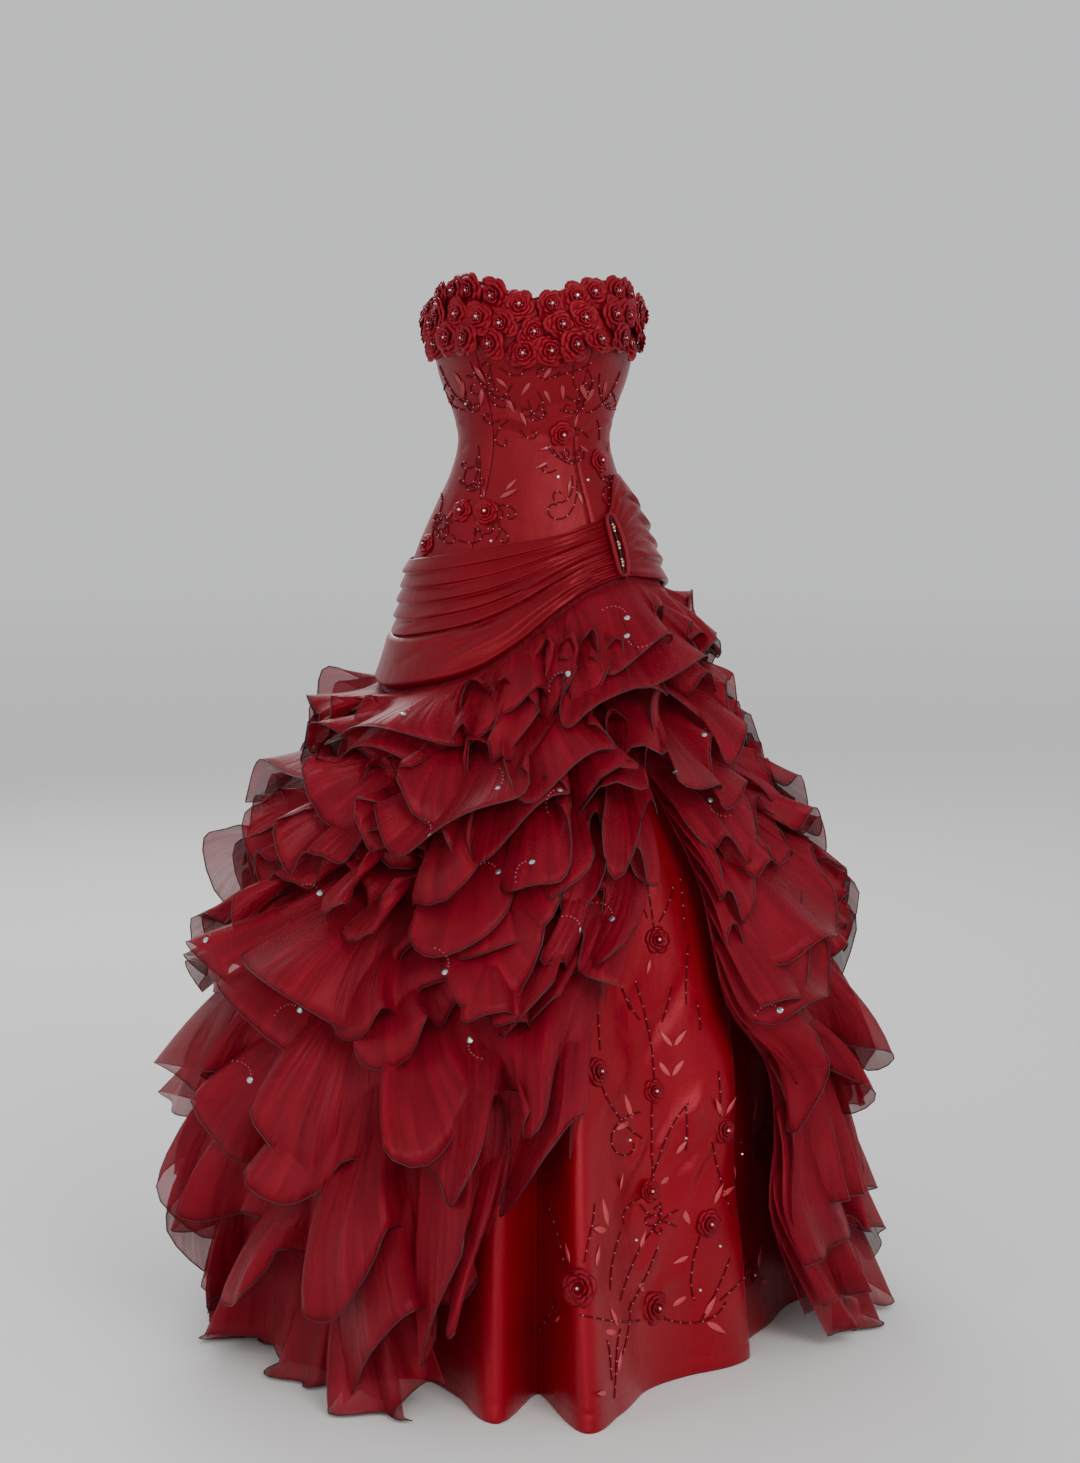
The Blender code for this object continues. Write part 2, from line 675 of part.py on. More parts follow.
def ruffle_point(order, share, t):
    """A point of a ruffle: share runs along its root and t from the root to its edge.

    Each wave swings out and in, and its sides lean over its crest and its valley. The angle
    and the height depend on each other where the overskirt opens, so they are found by turns.
    """
    tier = RUFFLE_TIERS[order]
    turn = 2 * math.pi * (tier.waves * share + tier.phase)
    crest = 2 * abs(math.sin(turn / 2)) ** FULLNESS - 1
    lean_over = OVERHANG / tier.waves * math.sin(2 * turn)
    drift = DRIFT * math.sin(2 * math.pi * DRIFT_WAVES * share + order)
    spread = share + t * (lean_over + drift)
    size = 1 + SIZE_CHANGE * math.sin(2 * math.pi * SIZE_WAVES * share + SIZE_STEP * order)
    z = tier.left_root
    for _ in range(PLACE_TURNS):
        angle = overskirt_angle(spread, z)
        root = root_height(order, angle)
        drop = tier.drop * (root - root_height(order + 1, angle))
        z = root - drop * t * (1 + CREST_DROP * crest * t * tier.hang)
        z -= tier.wave * crest * t * math.cos(math.radians(90 * tier.hang))
    side = 1 - SIDE_LEAN * math.sin(math.radians(angle))
    from_end = min(max(min(share, 1 - share) / END_SPREAD, 0.0), 1.0)
    side *= END_LIFT + (1 - END_LIFT) * from_end
    swing = tier.wave * crest * t * math.sin(math.radians(90 * tier.hang))
    lift = side * size * (tier.reach * (1 - (1 - t) ** ROUNDNESS) + swing)
    return overskirt_point(spread, max(z, FLOOR + HEM_CLEAR), ORGANZA_THICK + LAYER_GAP + lift)


def build_ruffles():
    """Tiers of waved organza, each sewn to the overskirt along its root line."""
    count = RUFFLE_COLUMNS // len(RUFFLE_PARTS)
    rows = [1 - t for t in RUFFLE_STEPS]
    for order in range(len(RUFFLE_TIERS)):

        def surface(share, v, order=order):
            return ruffle_point(order, share, max(1 - v, 0.0))

        for n, part in enumerate(RUFFLE_PARTS):
            ends = range(n * count, (n + 1) * count + 1)
            columns = parted_share([place / RUFFLE_COLUMNS for place in ends])
            wall(f"ruffle_{order + 1}_{part}", surface, columns, rows, ORGANZA_THICK, "organza")


def main():
    clear_scene()
    build_bodice()
    build_roses()
    build_sash()
    build_ring()
    build_underskirt()
    build_overskirt()
    build_ruffles()


main()
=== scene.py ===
"""The ball gown's looks: satin, organza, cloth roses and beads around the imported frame.

Metres, +Z up. The origin is at the waist and the front faces -Y. Angles are in degrees
about Z: 0 is the centre front and +90 the wearer's left side (+X).
"""

import json
import math
from collections import namedtuple
from functools import lru_cache

import bpy
import numpy as np
from mathutils import Euler, Matrix, Quaternion, Vector
from mathutils.bvhtree import BVHTree

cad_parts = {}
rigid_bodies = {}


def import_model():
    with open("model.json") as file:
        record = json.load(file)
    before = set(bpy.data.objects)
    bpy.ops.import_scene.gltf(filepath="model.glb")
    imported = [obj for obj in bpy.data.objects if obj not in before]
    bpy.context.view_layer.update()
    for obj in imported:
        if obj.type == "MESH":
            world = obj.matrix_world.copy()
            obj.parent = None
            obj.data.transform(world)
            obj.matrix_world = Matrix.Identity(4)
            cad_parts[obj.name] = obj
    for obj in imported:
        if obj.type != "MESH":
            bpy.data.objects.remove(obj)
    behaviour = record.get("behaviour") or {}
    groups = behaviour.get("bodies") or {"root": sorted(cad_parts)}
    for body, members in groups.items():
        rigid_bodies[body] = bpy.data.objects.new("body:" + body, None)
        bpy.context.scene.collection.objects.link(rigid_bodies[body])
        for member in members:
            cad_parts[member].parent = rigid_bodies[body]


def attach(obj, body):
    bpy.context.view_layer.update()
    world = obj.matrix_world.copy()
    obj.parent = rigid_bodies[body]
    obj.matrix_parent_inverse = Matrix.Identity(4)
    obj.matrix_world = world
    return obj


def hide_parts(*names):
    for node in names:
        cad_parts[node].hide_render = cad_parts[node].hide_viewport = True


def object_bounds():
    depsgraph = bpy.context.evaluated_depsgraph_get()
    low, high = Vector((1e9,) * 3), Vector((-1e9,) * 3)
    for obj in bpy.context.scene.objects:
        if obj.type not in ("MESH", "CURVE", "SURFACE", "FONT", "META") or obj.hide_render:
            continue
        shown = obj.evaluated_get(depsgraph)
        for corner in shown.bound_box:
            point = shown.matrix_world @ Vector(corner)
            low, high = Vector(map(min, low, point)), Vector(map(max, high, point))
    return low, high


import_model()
cad_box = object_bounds()
rng = np.random.default_rng(7)


def rows_of(kind, *values):
    """A table with a row of one kind for each group of values."""
    return tuple(kind(*each) for each in values)


# The gown's sizes, the same as the solids have
FLOOR = -1.23
HIP_SEAM = -0.185
Section = namedtuple("Section", "height right left front back")
SATIN_FORM = rows_of(
    Section,
    (FLOOR, 0.350, 0.400, 0.430, 0.430),
    (-1.00, 0.368, 0.358, 0.400, 0.410),
    (-0.78, 0.338, 0.342, 0.345, 0.360),
    (-0.60, 0.294, 0.302, 0.285, 0.300),
    (-0.45, 0.243, 0.243, 0.225, 0.235),
    (-0.33, 0.203, 0.200, 0.170, 0.178),
    (-0.25, 0.186, 0.184, 0.141, 0.148),
    (-0.185, 0.173, 0.171, 0.121, 0.129),
    (-0.145, 0.160, 0.160, 0.111, 0.117),
    (-0.095, 0.138, 0.138, 0.098, 0.101),
    (-0.045, 0.115, 0.115, 0.089, 0.088),
    (0.000, 0.105, 0.105, 0.085, 0.080),
    (0.040, 0.113, 0.113, 0.089, 0.084),
    (0.085, 0.130, 0.129, 0.099, 0.092),
    (0.135, 0.140, 0.139, 0.106, 0.097),
    (0.170, 0.142, 0.142, 0.103, 0.096),
    (0.200, 0.134, 0.135, 0.095, 0.090),
    (0.240, 0.118, 0.120, 0.083, 0.080),
)
Standoff = namedtuple("Standoff", "height out")
OVERSKIRT_STANDOFF = rows_of(
    Standoff,
    (FLOOR, 0.027),
    (-0.90, 0.044),
    (-0.60, 0.035),
    (-0.40, 0.014),
    (-0.30, 0.0042),
    (-0.21, 0.0024),
    (-0.10, 0.0022),
)
NeckPoint = namedtuple("NeckPoint", "angle height")
NECKLINE = rows_of(
    NeckPoint,
    (0, 0.190),
    (14, 0.200),
    (36, 0.214),
    (62, 0.211),
    (90, 0.184),
    (130, 0.158),
    (180, 0.150),
)
CUP_ANGLE, CUP_SPREAD, CUP_HEIGHT, CUP_RISE, CUP_OUT = 34, 22, 0.135, 0.045, 0.014
Panel = namedtuple("Panel", "name start end")
BODICE_PANELS = rows_of(
    Panel,
    ("bodice_centre_front", -32, 32),
    ("bodice_side_front_left", 32, 90),
    ("bodice_side_back_left", 90, 138),
    ("bodice_back_left", 138, 180),
    ("bodice_back_right", 180, 222),
    ("bodice_side_back_right", 222, 270),
    ("bodice_side_front_right", 270, 328),
)
UNDERSKIRT_PANELS = rows_of(
    Panel,
    ("underskirt_front", 1, 58),
    ("underskirt_left_side", 58, 115),
    ("underskirt_left_back", 115, 180),
    ("underskirt_right_back", -180, -115),
    ("underskirt_right_side", -115, -57),
    ("underskirt_right_front", -57, 1),
)
Fold = namedtuple("Fold", "angle out")
HEM_FOLDS = rows_of(
    Fold,
    (-180, -0.045), (-164, 0.018), (-148, -0.045), (-132, 0.016), (-115, -0.050), (-100, 0.016),
    (-86, -0.040), (-72, 0.018), (-57, -0.050), (-42, 0.014), (-28, -0.040), (-16, 0.000),
    (-6, 0.082), (1, -0.030), (7, 0.116), (14, 0.060), (22, -0.010), (33, -0.034), (50, -0.025),
    (58, -0.060), (72, -0.055), (85, -0.040), (97, 0.012), (115, -0.050), (131, 0.016),
    (147, -0.045), (163, 0.018), (180, -0.045),
)
FOLD_START, FOLD_EASE = -0.30, 1.2
FRONT_PUSH = rows_of(
    Fold,
    (-180, 0.0), (-48, 0.0), (-24, 0.012), (-6, 0.058), (7, 0.092), (20, 0.050), (38, 0.008),
    (60, 0.0), (180, 0.0),
)
OPENING_SEAM = 34
Opening = namedtuple("Opening", "height to_right to_left")
OVERSKIRT_OPENING = rows_of(
    Opening,
    (FLOOR, 45, 30),
    (-1.03, 36, 18),
    (-0.93, 30, 21),
    (-0.83, 26, 19),
    (-0.75, 24, 9),
    (-0.67, 19, 7),
    (-0.58, 9, 7),
    (-0.50, 4, 4),
    (-0.43, 0, 0),
)
OVERSKIRT_GORES = rows_of(
    Panel,
    ("overskirt_left_front", 0, 9 / 48),
    ("overskirt_left_back", 9 / 48, 17 / 48),
    ("overskirt_back", 17 / 48, 27 / 48),
    ("overskirt_right_back", 27 / 48, 37 / 48),
    ("overskirt_right_front", 37 / 48, 1),
)
OVERSKIRT_HEM, OVERSKIRT_TUCK, SASH_CLEAR, HEM_CLEAR = FLOOR + 0.045, 0.014, 0.006, 0.004
SashEdge = namedtuple("SashEdge", "angle top bottom")
RING_ANGLE = 43
SASH_EDGES = rows_of(
    SashEdge,
    (-180, -0.135, -0.290),
    (-135, -0.157, -0.318),
    (-90, -0.166, -0.334),
    (-66, -0.163, -0.341),
    (-42, -0.155, -0.330),
    (-22, -0.146, -0.309),
    (-5, -0.138, -0.271),
    (9, -0.130, -0.232),
    (24, -0.118, -0.203),
    (RING_ANGLE, -0.100, -0.186),
    (60, -0.056, -0.190),
    (74, -0.048, -0.194),
    (90, -0.068, -0.200),
    (135, -0.100, -0.242),
    (180, -0.135, -0.290),
)
SASH_OUT = 0.0040
GATHER_SPREAD, GATHER_FLATTENS = 26, 0.75
Tier = namedtuple("Tier", "right_root left_root reach drop wave waves phase hang")
RUFFLE_TIERS = rows_of(
    Tier,
    (-0.346, -0.208, 0.052, 0.95, 0.026, 12, 0.0, 0.35),
    (-0.405, -0.305, 0.060, 1.00, 0.032, 12, 0.5, 0.30),
    (-0.485, -0.410, 0.066, 1.00, 0.036, 16, 0.0, 0.35),
    (-0.580, -0.530, 0.068, 1.05, 0.038, 16, 0.5, 0.50),
    (-0.695, -0.665, 0.066, 1.20, 0.040, 16, 0.17, 0.70),
    (-0.835, -0.815, 0.062, 1.35, 0.042, 16, 0.67, 0.90),
    (-0.990, -0.985, 0.044, 1.45, 0.032, 16, 0.33, 1.00),
)
LAST_LINE = (-1.150, -1.120)
ROUNDNESS, FULLNESS, SIDE_LEAN = 1.7, 1.9, 0.15
SWAY, SWAY_WAVES, SWAY_STEP, SWAY_GROWTH = 0.034, 5, 0.3, 0.3
SIZE_CHANGE = 0.12
END_SPREAD, END_LIFT = 0.07, 0.60
LAYER_GAP = 0.0021
SATIN_THICKNESS, SASH_THICKNESS = 0.0012, 0.0011
GORE_THICKNESS, RUFFLE_THICKNESS = 0.0007, 0.0006

# The view that the photograph has
CAMERA_PLACE = Vector((0.0084, -4.0, 0.05))
CAMERA_DOWN = math.radians(6.55)
CAMERA_LENS = 70.5
PHOTO_WIDTH, PHOTO_HEIGHT, PHOTO_FOCUS = 1080, 1463, 2864


class Value:
    """A socket of a finish. Sums written on it add Math nodes to the finish."""

    def __init__(self, finish, socket):
        self.finish = finish
        self.socket = socket

    def math(self, operation, *values):
        return self.finish.node("ShaderNodeMath", values, operation=operation)

    def __add__(self, other):
        return self.math("ADD", self, other)

    def __sub__(self, other):
        return self.math("SUBTRACT", self, other)

    def __rsub__(self, other):
        return self.math("SUBTRACT", other, self)

    def __mul__(self, other):
        return self.math("MULTIPLY", self, other)

    __radd__ = __add__
    __rmul__ = __mul__


class Finish:
    """A material on a Principled shader."""

    def __init__(self, name, colour, roughness, **constants):
        self.material = bpy.data.materials.new(name)
        self.material.use_nodes = True
        self.tree = self.material.node_tree
        self.shader = self.tree.nodes["Principled BSDF"]
        self.set(colour=(*colour, 1), roughness=roughness, **constants)

    def put(self, node, sockets):
        for name, value in sockets.items():
            if isinstance(value, Value):
                self.tree.links.new(value.socket, node.inputs[name])
            else:
                node.inputs[name].default_value = value

    def set(self, **values):
        """Values of the shader's sockets, named in small letters, such as coat_weight."""
        names = {"colour": "Base Color", "ior": "IOR", "specular_level": "Specular IOR Level"}
        sockets = {names.get(n, n.replace("_", " ").title()): v for n, v in values.items()}
        self.put(self.shader, sockets)

    def node(self, kind, sockets=(), out=0, **settings):
        """Any node: its settings first, then its sockets' values or links."""
        made = self.tree.nodes.new(kind)
        for name, value in settings.items():
            setattr(made, name, value)
        named = sockets if isinstance(sockets, dict) else dict(enumerate(sockets))
        self.put(made, named)
        return Value(self, made.outputs[out])

    def place(self, kind, scale):
        """Object or UV coordinates, stretched by a scale along each axis."""
        coords = self.node("ShaderNodeTexCoord", out=kind)
        return self.node("ShaderNodeMapping", {"Vector": coords, "Scale": scale})

    def noise(self, at, scale, detail=2.0, roughness=0.5):
        sockets = {"Vector": at, "Scale": scale, "Detail": detail, "Roughness": roughness}
        return self.node("ShaderNodeTexNoise", sockets, out="Fac")

    def mix(self, share, first, second):
        """Two colours, or colour links, mixed by a share."""
        sockets = {0: share}
        for n, colour in ((6, first), (7, second)):
            sockets[n] = colour if isinstance(colour, Value) else (*colour, 1)
        return self.node("ShaderNodeMix", sockets, out=2, data_type="RGBA")

    def bump(self, height, distance, strength=1.0):
        sockets = {"Height": height, "Distance": distance, "Strength": strength}
        return self.node("ShaderNodeBump", sockets)


def satin(name, bright, deep, roughness=0.46):
    """Heavy satin: a lengthwise float in its sheen, soft unevenness and a faint twill. Its colour
    turns lighter along stretched streaks: painted sheen.
    """
    finish = Finish(name, bright, roughness, sheen_weight=0.18, sheen_roughness=0.25,
                    sheen_tint=(1.0, 0.10, 0.14, 1), specular_level=0.60,
                    specular_tint=(1.0, 0.17, 0.20, 1))
    floats = finish.noise(finish.place("UV", (2600, 130, 1)), 1.0, 3.0)
    sheen_streaks = finish.noise(finish.place("UV", (60, 420, 1)), 1.0, 3.0)
    cloud = finish.noise(finish.place("Object", (11, 11, 11)), 1.0, 4.0)
    crumple = finish.noise(finish.place("Object", (30, 30, 16)), 1.0, 3.0, 0.55)
    finish.set(
        # The colour is partly a random cloud of tone and partly painted sheen: it turns lighter along
        # the stretched streaks.
        colour=finish.mix(cloud * 0.6 + sheen_streaks * 0.4, deep, bright),
        roughness=floats * 0.14 + (crumple * 0.22 + (roughness - 0.18)),
        normal=finish.bump(floats * 0.10 + sheen_streaks * 0.12 + crumple, 0.0035, 0.45),
    )
    return finish.material


def organza(name, bright, deep, alpha):
    """Sheer crisp organza, gathered: fine ridges run from its root to its free edge. Its colour is
    lighter on the crests of the gathers and ridges and darker in their troughs: painted light and
    shade.
    """
    finish = Finish(name, bright, 0.42, sheen_weight=0.16, sheen_roughness=0.4,
                    sheen_tint=(1.0, 0.13, 0.16, 1), specular_level=0.40,
                    specular_tint=(1.0, 0.30, 0.34, 1))
    ridges_and_shade = finish.noise(finish.place("UV", (190, 9, 1)), 1.0, 2.0)
    gathers_and_shade = finish.noise(finish.place("UV", (62, 4, 1)), 1.0, 1.0)
    weave = finish.noise(finish.place("UV", (1700, 1700, 1)), 1.0, 1.0)
    cloud = finish.noise(finish.place("Object", (14, 14, 14)), 1.0, 2.0)
    finish.set(
        # The colour follows the bump of the gathers and ridges: painted light on their crests and
        # painted shade in their troughs, with a random cloud of tone.
        colour=finish.mix(gathers_and_shade * 1.2 + ridges_and_shade * 0.6 + cloud * 0.4 - 0.6, deep, bright),
        alpha=ridges_and_shade * 0.24 + (cloud * 0.20 + (alpha - 0.22)),
        roughness=cloud * 0.2 + 0.34,
        normal=finish.bump(gathers_and_shade * 2.2 + ridges_and_shade + weave * 0.015, 0.0028, 0.8),
    )
    return finish.material


def plain(name, colour, roughness, grain=400, depth=0.0002, **constants):
    """A small hard or corded thing's finish, with a fine grain."""
    finish = Finish(name, colour, roughness, **constants)
    grained = finish.noise(finish.place("Object", (1, 1, 1)), grain, 2.0)
    finish.set(
        colour=finish.mix(grained, [c * 0.75 for c in colour], colour),
        roughness=grained * 0.12 + (roughness - 0.06),
        normal=finish.bump(grained, depth, 0.6),
    )
    return finish.material


BODICE_SATIN = satin("bodice_satin", (0.160, 0.0016, 0.008), (0.070, 0.0006, 0.003), 0.37)
SKIRT_SATIN = satin("underskirt_satin", (0.255, 0.0026, 0.012), (0.115, 0.0010, 0.005), 0.33)
SASH_SATIN = satin("sash_satin", (0.160, 0.0016, 0.008), (0.066, 0.0006, 0.003), 0.31)
ORGANZA = organza("ruffle_organza", (0.27, 0.0042, 0.017), (0.115, 0.0014, 0.007), 0.57)
SKIRT_ORGANZA = organza("overskirt_organza", (0.20, 0.003, 0.014), (0.10, 0.0015, 0.007), 0.60)
ROLLED_EDGE = plain("rolled_edge", (0.030, 0.001, 0.003), 0.5)
ROSE_CLOTH = satin("rose_cloth", (0.225, 0.0030, 0.011), (0.080, 0.0010, 0.005), 0.42)
STITCHED = plain("satin_stitch", (0.46, 0.035, 0.050), 0.40, 900, 0.0004)
DARK_STITCHED = plain("dark_satin_stitch", (0.27, 0.009, 0.018), 0.40, 900, 0.0004)
SEED_BEAD = plain("seed_bead", (0.085, 0.002, 0.005), 0.30, specular_tint=(1.0, 0.20, 0.25, 1))
CLEAR_BEAD = plain("clear_bead", (0.42, 0.13, 0.17), 0.12, coat_weight=1.0)
CRYSTAL = plain("crystal", (0.78, 0.70, 0.74), 0.06, metallic=0.45, coat_weight=1.0)
BRASS = plain("dark_brass", (0.35, 0.20, 0.10), 0.28, metallic=1.0)
SEQUIN = plain("sequin", (0.45, 0.62, 0.60), 0.10, metallic=0.8, coat_weight=1.0)
# Near black: the jewelled bar's rod is coloured as painted shade of the gap inside the ring.
GAP_PAINTED_SHADE = plain("ring_core", (0.020, 0.002, 0.003), 0.6)


@lru_cache(maxsize=None)
def columns_of(table, column):
    """The keys, values and slopes of a column of a table, for smooth()."""
    keys = np.array([row[0] for row in table], float)
    values = np.array([getattr(row, column) for row in table], float)
    n = np.arange(len(keys))
    before, after = np.maximum(n - 1, 0), np.minimum(n + 1, len(keys) - 1)
    return keys, values, (values[after] - values[before]) / (keys[after] - keys[before])


def smooth(table, column, at):
    """The values of a column at places along the first column, on a smooth curve."""
    keys, values, slopes = columns_of(table, column)
    at = np.clip(at, keys[0], keys[-1])
    i = np.clip(np.searchsorted(keys, at) - 1, 0, len(keys) - 2)
    span = keys[i + 1] - keys[i]
    t = (at - keys[i]) / span
    rise = 3 * t * t - 2 * t**3
    lead_in = (t**3 - 2 * t * t + t) * span * slopes[i]
    lead_out = (t**3 - t * t) * span * slopes[i + 1]
    return values[i] * (1 - rise) + values[i + 1] * rise + lead_in + lead_out


def turned(angle):
    return (angle + 180) % 360 - 180


def outward(angle):
    turn = np.radians(angle)
    return np.stack((np.sin(turn), -np.cos(turn), np.zeros_like(turn)), -1)


def form(angle, z, out=0.0):
    """Points that distance out from the satin form, at angles and heights."""
    side = outward(angle)
    across = np.where(side[..., 0] < 0, smooth(SATIN_FORM, "right", z), smooth(SATIN_FORM, "left", z))
    along = np.where(side[..., 1] < 0, smooth(SATIN_FORM, "front", z), smooth(SATIN_FORM, "back", z))
    round_it = (np.abs(turned(angle)) - CUP_ANGLE) / CUP_SPREAD
    cup = CUP_OUT * np.exp(-round_it**2 - ((z - CUP_HEIGHT) / CUP_RISE) ** 2)
    points = np.stack((across * side[..., 0], along * side[..., 1], z + 0 * across), -1)
    return points + side * (out + cup)[..., None]


def neck_height(angle):
    return smooth(NECKLINE, "height", np.abs(turned(angle)))


def fold_share(z):
    return np.maximum((FOLD_START - z) / (FOLD_START - FLOOR), 0) ** FOLD_EASE


def sash_edge(angle, side):
    return smooth(SASH_EDGES, side, turned(angle))


def overskirt_angle(share, z):
    left = OPENING_SEAM + np.maximum(smooth(OVERSKIRT_OPENING, "to_left", z), 0)
    right = OPENING_SEAM + 360 - np.maximum(smooth(OVERSKIRT_OPENING, "to_right", z), 0)
    return left + share * (right - left)


def overskirt_point(share, z, out=0.0):
    angle = overskirt_angle(share, z)
    push = fold_share(z) * smooth(FRONT_PUSH, "out", turned(angle))
    return form(angle, z, smooth(OVERSKIRT_STANDOFF, "out", z) + push + out)


Crease = namedtuple("Crease", "angle z to_angle to_z depth width")


def creased(creases, angle, z, radius):
    """How far the given creases push the cloth out or in: soft, uneven and tapered."""
    out = np.zeros_like(angle)
    for n, c in enumerate(creases):
        along = np.array((math.radians(c.to_angle - c.angle) * radius, c.to_z - c.z))
        x, y = np.radians(turned(angle - c.angle)) * radius, z - c.z
        share = np.clip((x * along[0] + y * along[1]) / (along @ along), 0, 1)
        wander = 0.35 * c.width * np.sin(9 * share + 1.7 * n)
        off = np.hypot(x - share * along[0], y - share * along[1] + wander)
        uneven = 0.75 + 0.25 * np.sin(11 * share + 2.3 * n)
        taper = np.sin(math.pi * np.clip(share * 0.9 + 0.05, 0, 1)) ** 0.7
        out += c.depth * uneven * taper * np.exp(-((off / c.width) ** 2))
    return out


def deselect():
    bpy.ops.object.select_all(action="DESELECT")


def primitive(add, material, **settings):
    """A primitive that is alone in the selection, with its material."""
    deselect()
    add(**settings)
    made = bpy.context.object
    made.data.materials.append(material)
    return made


def work_on_all(operator, **settings):
    """An operator of edit mode at work on the whole of the active piece."""
    bpy.ops.object.mode_set(mode="EDIT")
    bpy.ops.mesh.select_all(action="SELECT")
    operator(**settings)
    bpy.ops.object.mode_set(mode="OBJECT")


def piece_from_grid(name, place, columns, rows, material, fanned=False):
    """A grid moved to place(u, v), with u and v from 0 to 1, and its UV map in metres.

    The map's lines run along the cloth, or fan out with the columns of gathered cloth.
    It returns the piece, the flat width and length of its cloth and the cloth's area.
    """
    deselect()
    bpy.ops.mesh.primitive_grid_add(x_subdivisions=columns, y_subdivisions=rows, size=1)
    piece = bpy.context.object
    piece.name = piece.data.name = name
    mesh = piece.data
    flat = np.empty(len(mesh.vertices) * 3)
    mesh.vertices.foreach_get("co", flat)
    flat = flat.reshape(-1, 3)
    points = place(flat[:, 0] + 0.5, flat[:, 1] + 0.5)
    mesh.vertices.foreach_set("co", points.ravel())
    order = np.lexsort((flat[:, 0], flat[:, 1]))
    net = points[order].reshape(rows + 1, columns + 1, 3)
    width = np.linalg.norm(np.diff(net, axis=1), axis=2).sum(axis=1).max()
    length = np.linalg.norm(np.diff(net, axis=0), axis=2).sum(axis=0).max()
    area = sum(polygon.area for polygon in mesh.polygons)
    run = np.linalg.norm(np.diff(net, axis=1, prepend=net[:, :1]), axis=2).cumsum(axis=1)
    climb = np.linalg.norm(np.diff(net, axis=0, prepend=net[:1]), axis=2).cumsum(axis=0)
    if fanned:
        run[:] = run.mean(axis=0)
        climb[:] = climb.mean(axis=1, keepdims=True)
    threads = np.empty((len(order), 2))
    threads[order] = np.stack((run - run[:, columns // 2, None], climb), -1).reshape(-1, 2)
    corners = np.empty(len(mesh.loops), int)
    mesh.loops.foreach_get("vertex_index", corners)
    mesh.uv_layers[0].data.foreach_set("uv", threads[corners].ravel())
    mesh.materials.append(material)
    mesh.update()
    return piece, (width, length), area


def thicken(piece, thickness):
    """Gives a piece of cloth its thickness, inwards from its outer face."""
    bpy.context.view_layer.objects.active = piece
    bpy.ops.object.modifier_add(type="SOLIDIFY")
    modifier = piece.modifiers[-1]
    modifier.thickness = thickness
    modifier.offset = -1
    modifier.use_quality_normals = True
    bpy.ops.object.modifier_apply(modifier=modifier.name)
    piece.data.shade_smooth()


def join(piece, others):
    deselect()
    for other in others:
        other.select_set(True)
    piece.select_set(True)
    bpy.context.view_layer.objects.active = piece
    bpy.ops.object.join()


def cord_along(points, radius, material, sides=1):
    """A thin round cord through points, as a mesh."""
    curve = bpy.data.curves.new("cord", "CURVE")
    curve.dimensions = "3D"
    curve.bevel_depth = radius
    curve.bevel_resolution = sides
    curve.use_fill_caps = True
    spline = curve.splines.new("POLY")
    spline.points.add(len(points) - 1)
    spline.points.foreach_set("co", np.c_[points, np.ones(len(points))].ravel())
    cord = bpy.data.objects.new("cord", curve)
    bpy.context.scene.collection.objects.link(cord)
    deselect()
    cord.select_set(True)
    bpy.context.view_layer.objects.active = cord
    bpy.ops.object.convert(target="MESH")
    cord = bpy.context.object
    cord.data.materials.clear()
    cord.data.materials.append(material)
    cord.data.shade_smooth()
    return cord


def declare(piece, flat, area, nodes):
    share = area / (flat[0] * flat[1])
    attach(piece, "root")
    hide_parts(*nodes)
    area if share < 1 else None


BODICE_CREASES = rows_of(
    Crease,
    (-34, 0.052, -4, 0.038, -0.0030, 0.0045), (-30, 0.030, 6, 0.020, 0.0023, 0.0040),
    (-26, 0.012, 12, 0.004, -0.0027, 0.0045), (8, 0.046, 36, 0.058, -0.0029, 0.0045),
    (14, 0.024, 40, 0.032, 0.0023, 0.0040), (20, 0.002, 52, 0.014, -0.0027, 0.0045),
    (48, 0.060, 84, 0.044, -0.0027, 0.0050), (56, 0.028, 88, 0.018, 0.0023, 0.0045),
    (-84, 0.048, -50, 0.062, -0.0027, 0.0050), (-88, 0.018, -54, 0.028, 0.0023, 0.0045),
    (-80, -0.012, -44, -0.004, -0.0023, 0.0050), (60, -0.006, 92, -0.014, -0.0023, 0.0050),
    (98, 0.040, 134, 0.028, -0.0027, 0.0050), (102, 0.006, 136, 0.000, 0.0021, 0.0045),
    (144, 0.030, 176, 0.016, -0.0025, 0.0050), (146, 0.000, 178, -0.010, 0.0021, 0.0045),
    (184, 0.018, 218, 0.032, -0.0025, 0.0050), (186, -0.008, 216, 0.002, 0.0021, 0.0045),
    (226, 0.026, 262, 0.042, -0.0027, 0.0050), (228, 0.000, 264, 0.008, 0.0021, 0.0045),
    (-22, -0.060, -12, -0.150, 0.0019, 0.0060), (18, -0.045, 12, -0.130, 0.0019, 0.0060),
    (-58, -0.070, -52, -0.150, 0.0019, 0.0070), (-40, 0.120, -20, 0.092, -0.0019, 0.0060),
    (42, 0.120, 22, 0.090, -0.0019, 0.0060),
)


def part_way(part, u, gap):
    """A place u of the way from a part's start to its end, with a gap kept at both."""
    return part.start + gap + u * (part.end - part.start - 2 * gap)


def from_seam(panel, u, radius):
    """How far a place u of the way across a panel is from the panel's nearest seam."""
    return np.minimum(u, 1 - u) * math.radians(panel.end - panel.start) * radius


def ridge(away, height, width):
    """A soft ridge, or a groove where its height is negative, by the distance from its line."""
    return height * np.exp(-((away / width) ** 2))


# Where the columns of a panel's grid fall, so that they crowd together at its seams
BODICE_CROWDING = ((0, 0.12, 0.88, 1), (0, 0.06, 0.94, 1))
BODICE_GRID, BODICE_GAP, STITCH_AWAY = (34, 96), 0.02, 0.0055
# Radii that turn angles round the bodice into lengths
WAIST_RADIUS, BUST_RADIUS = 0.10, 0.11


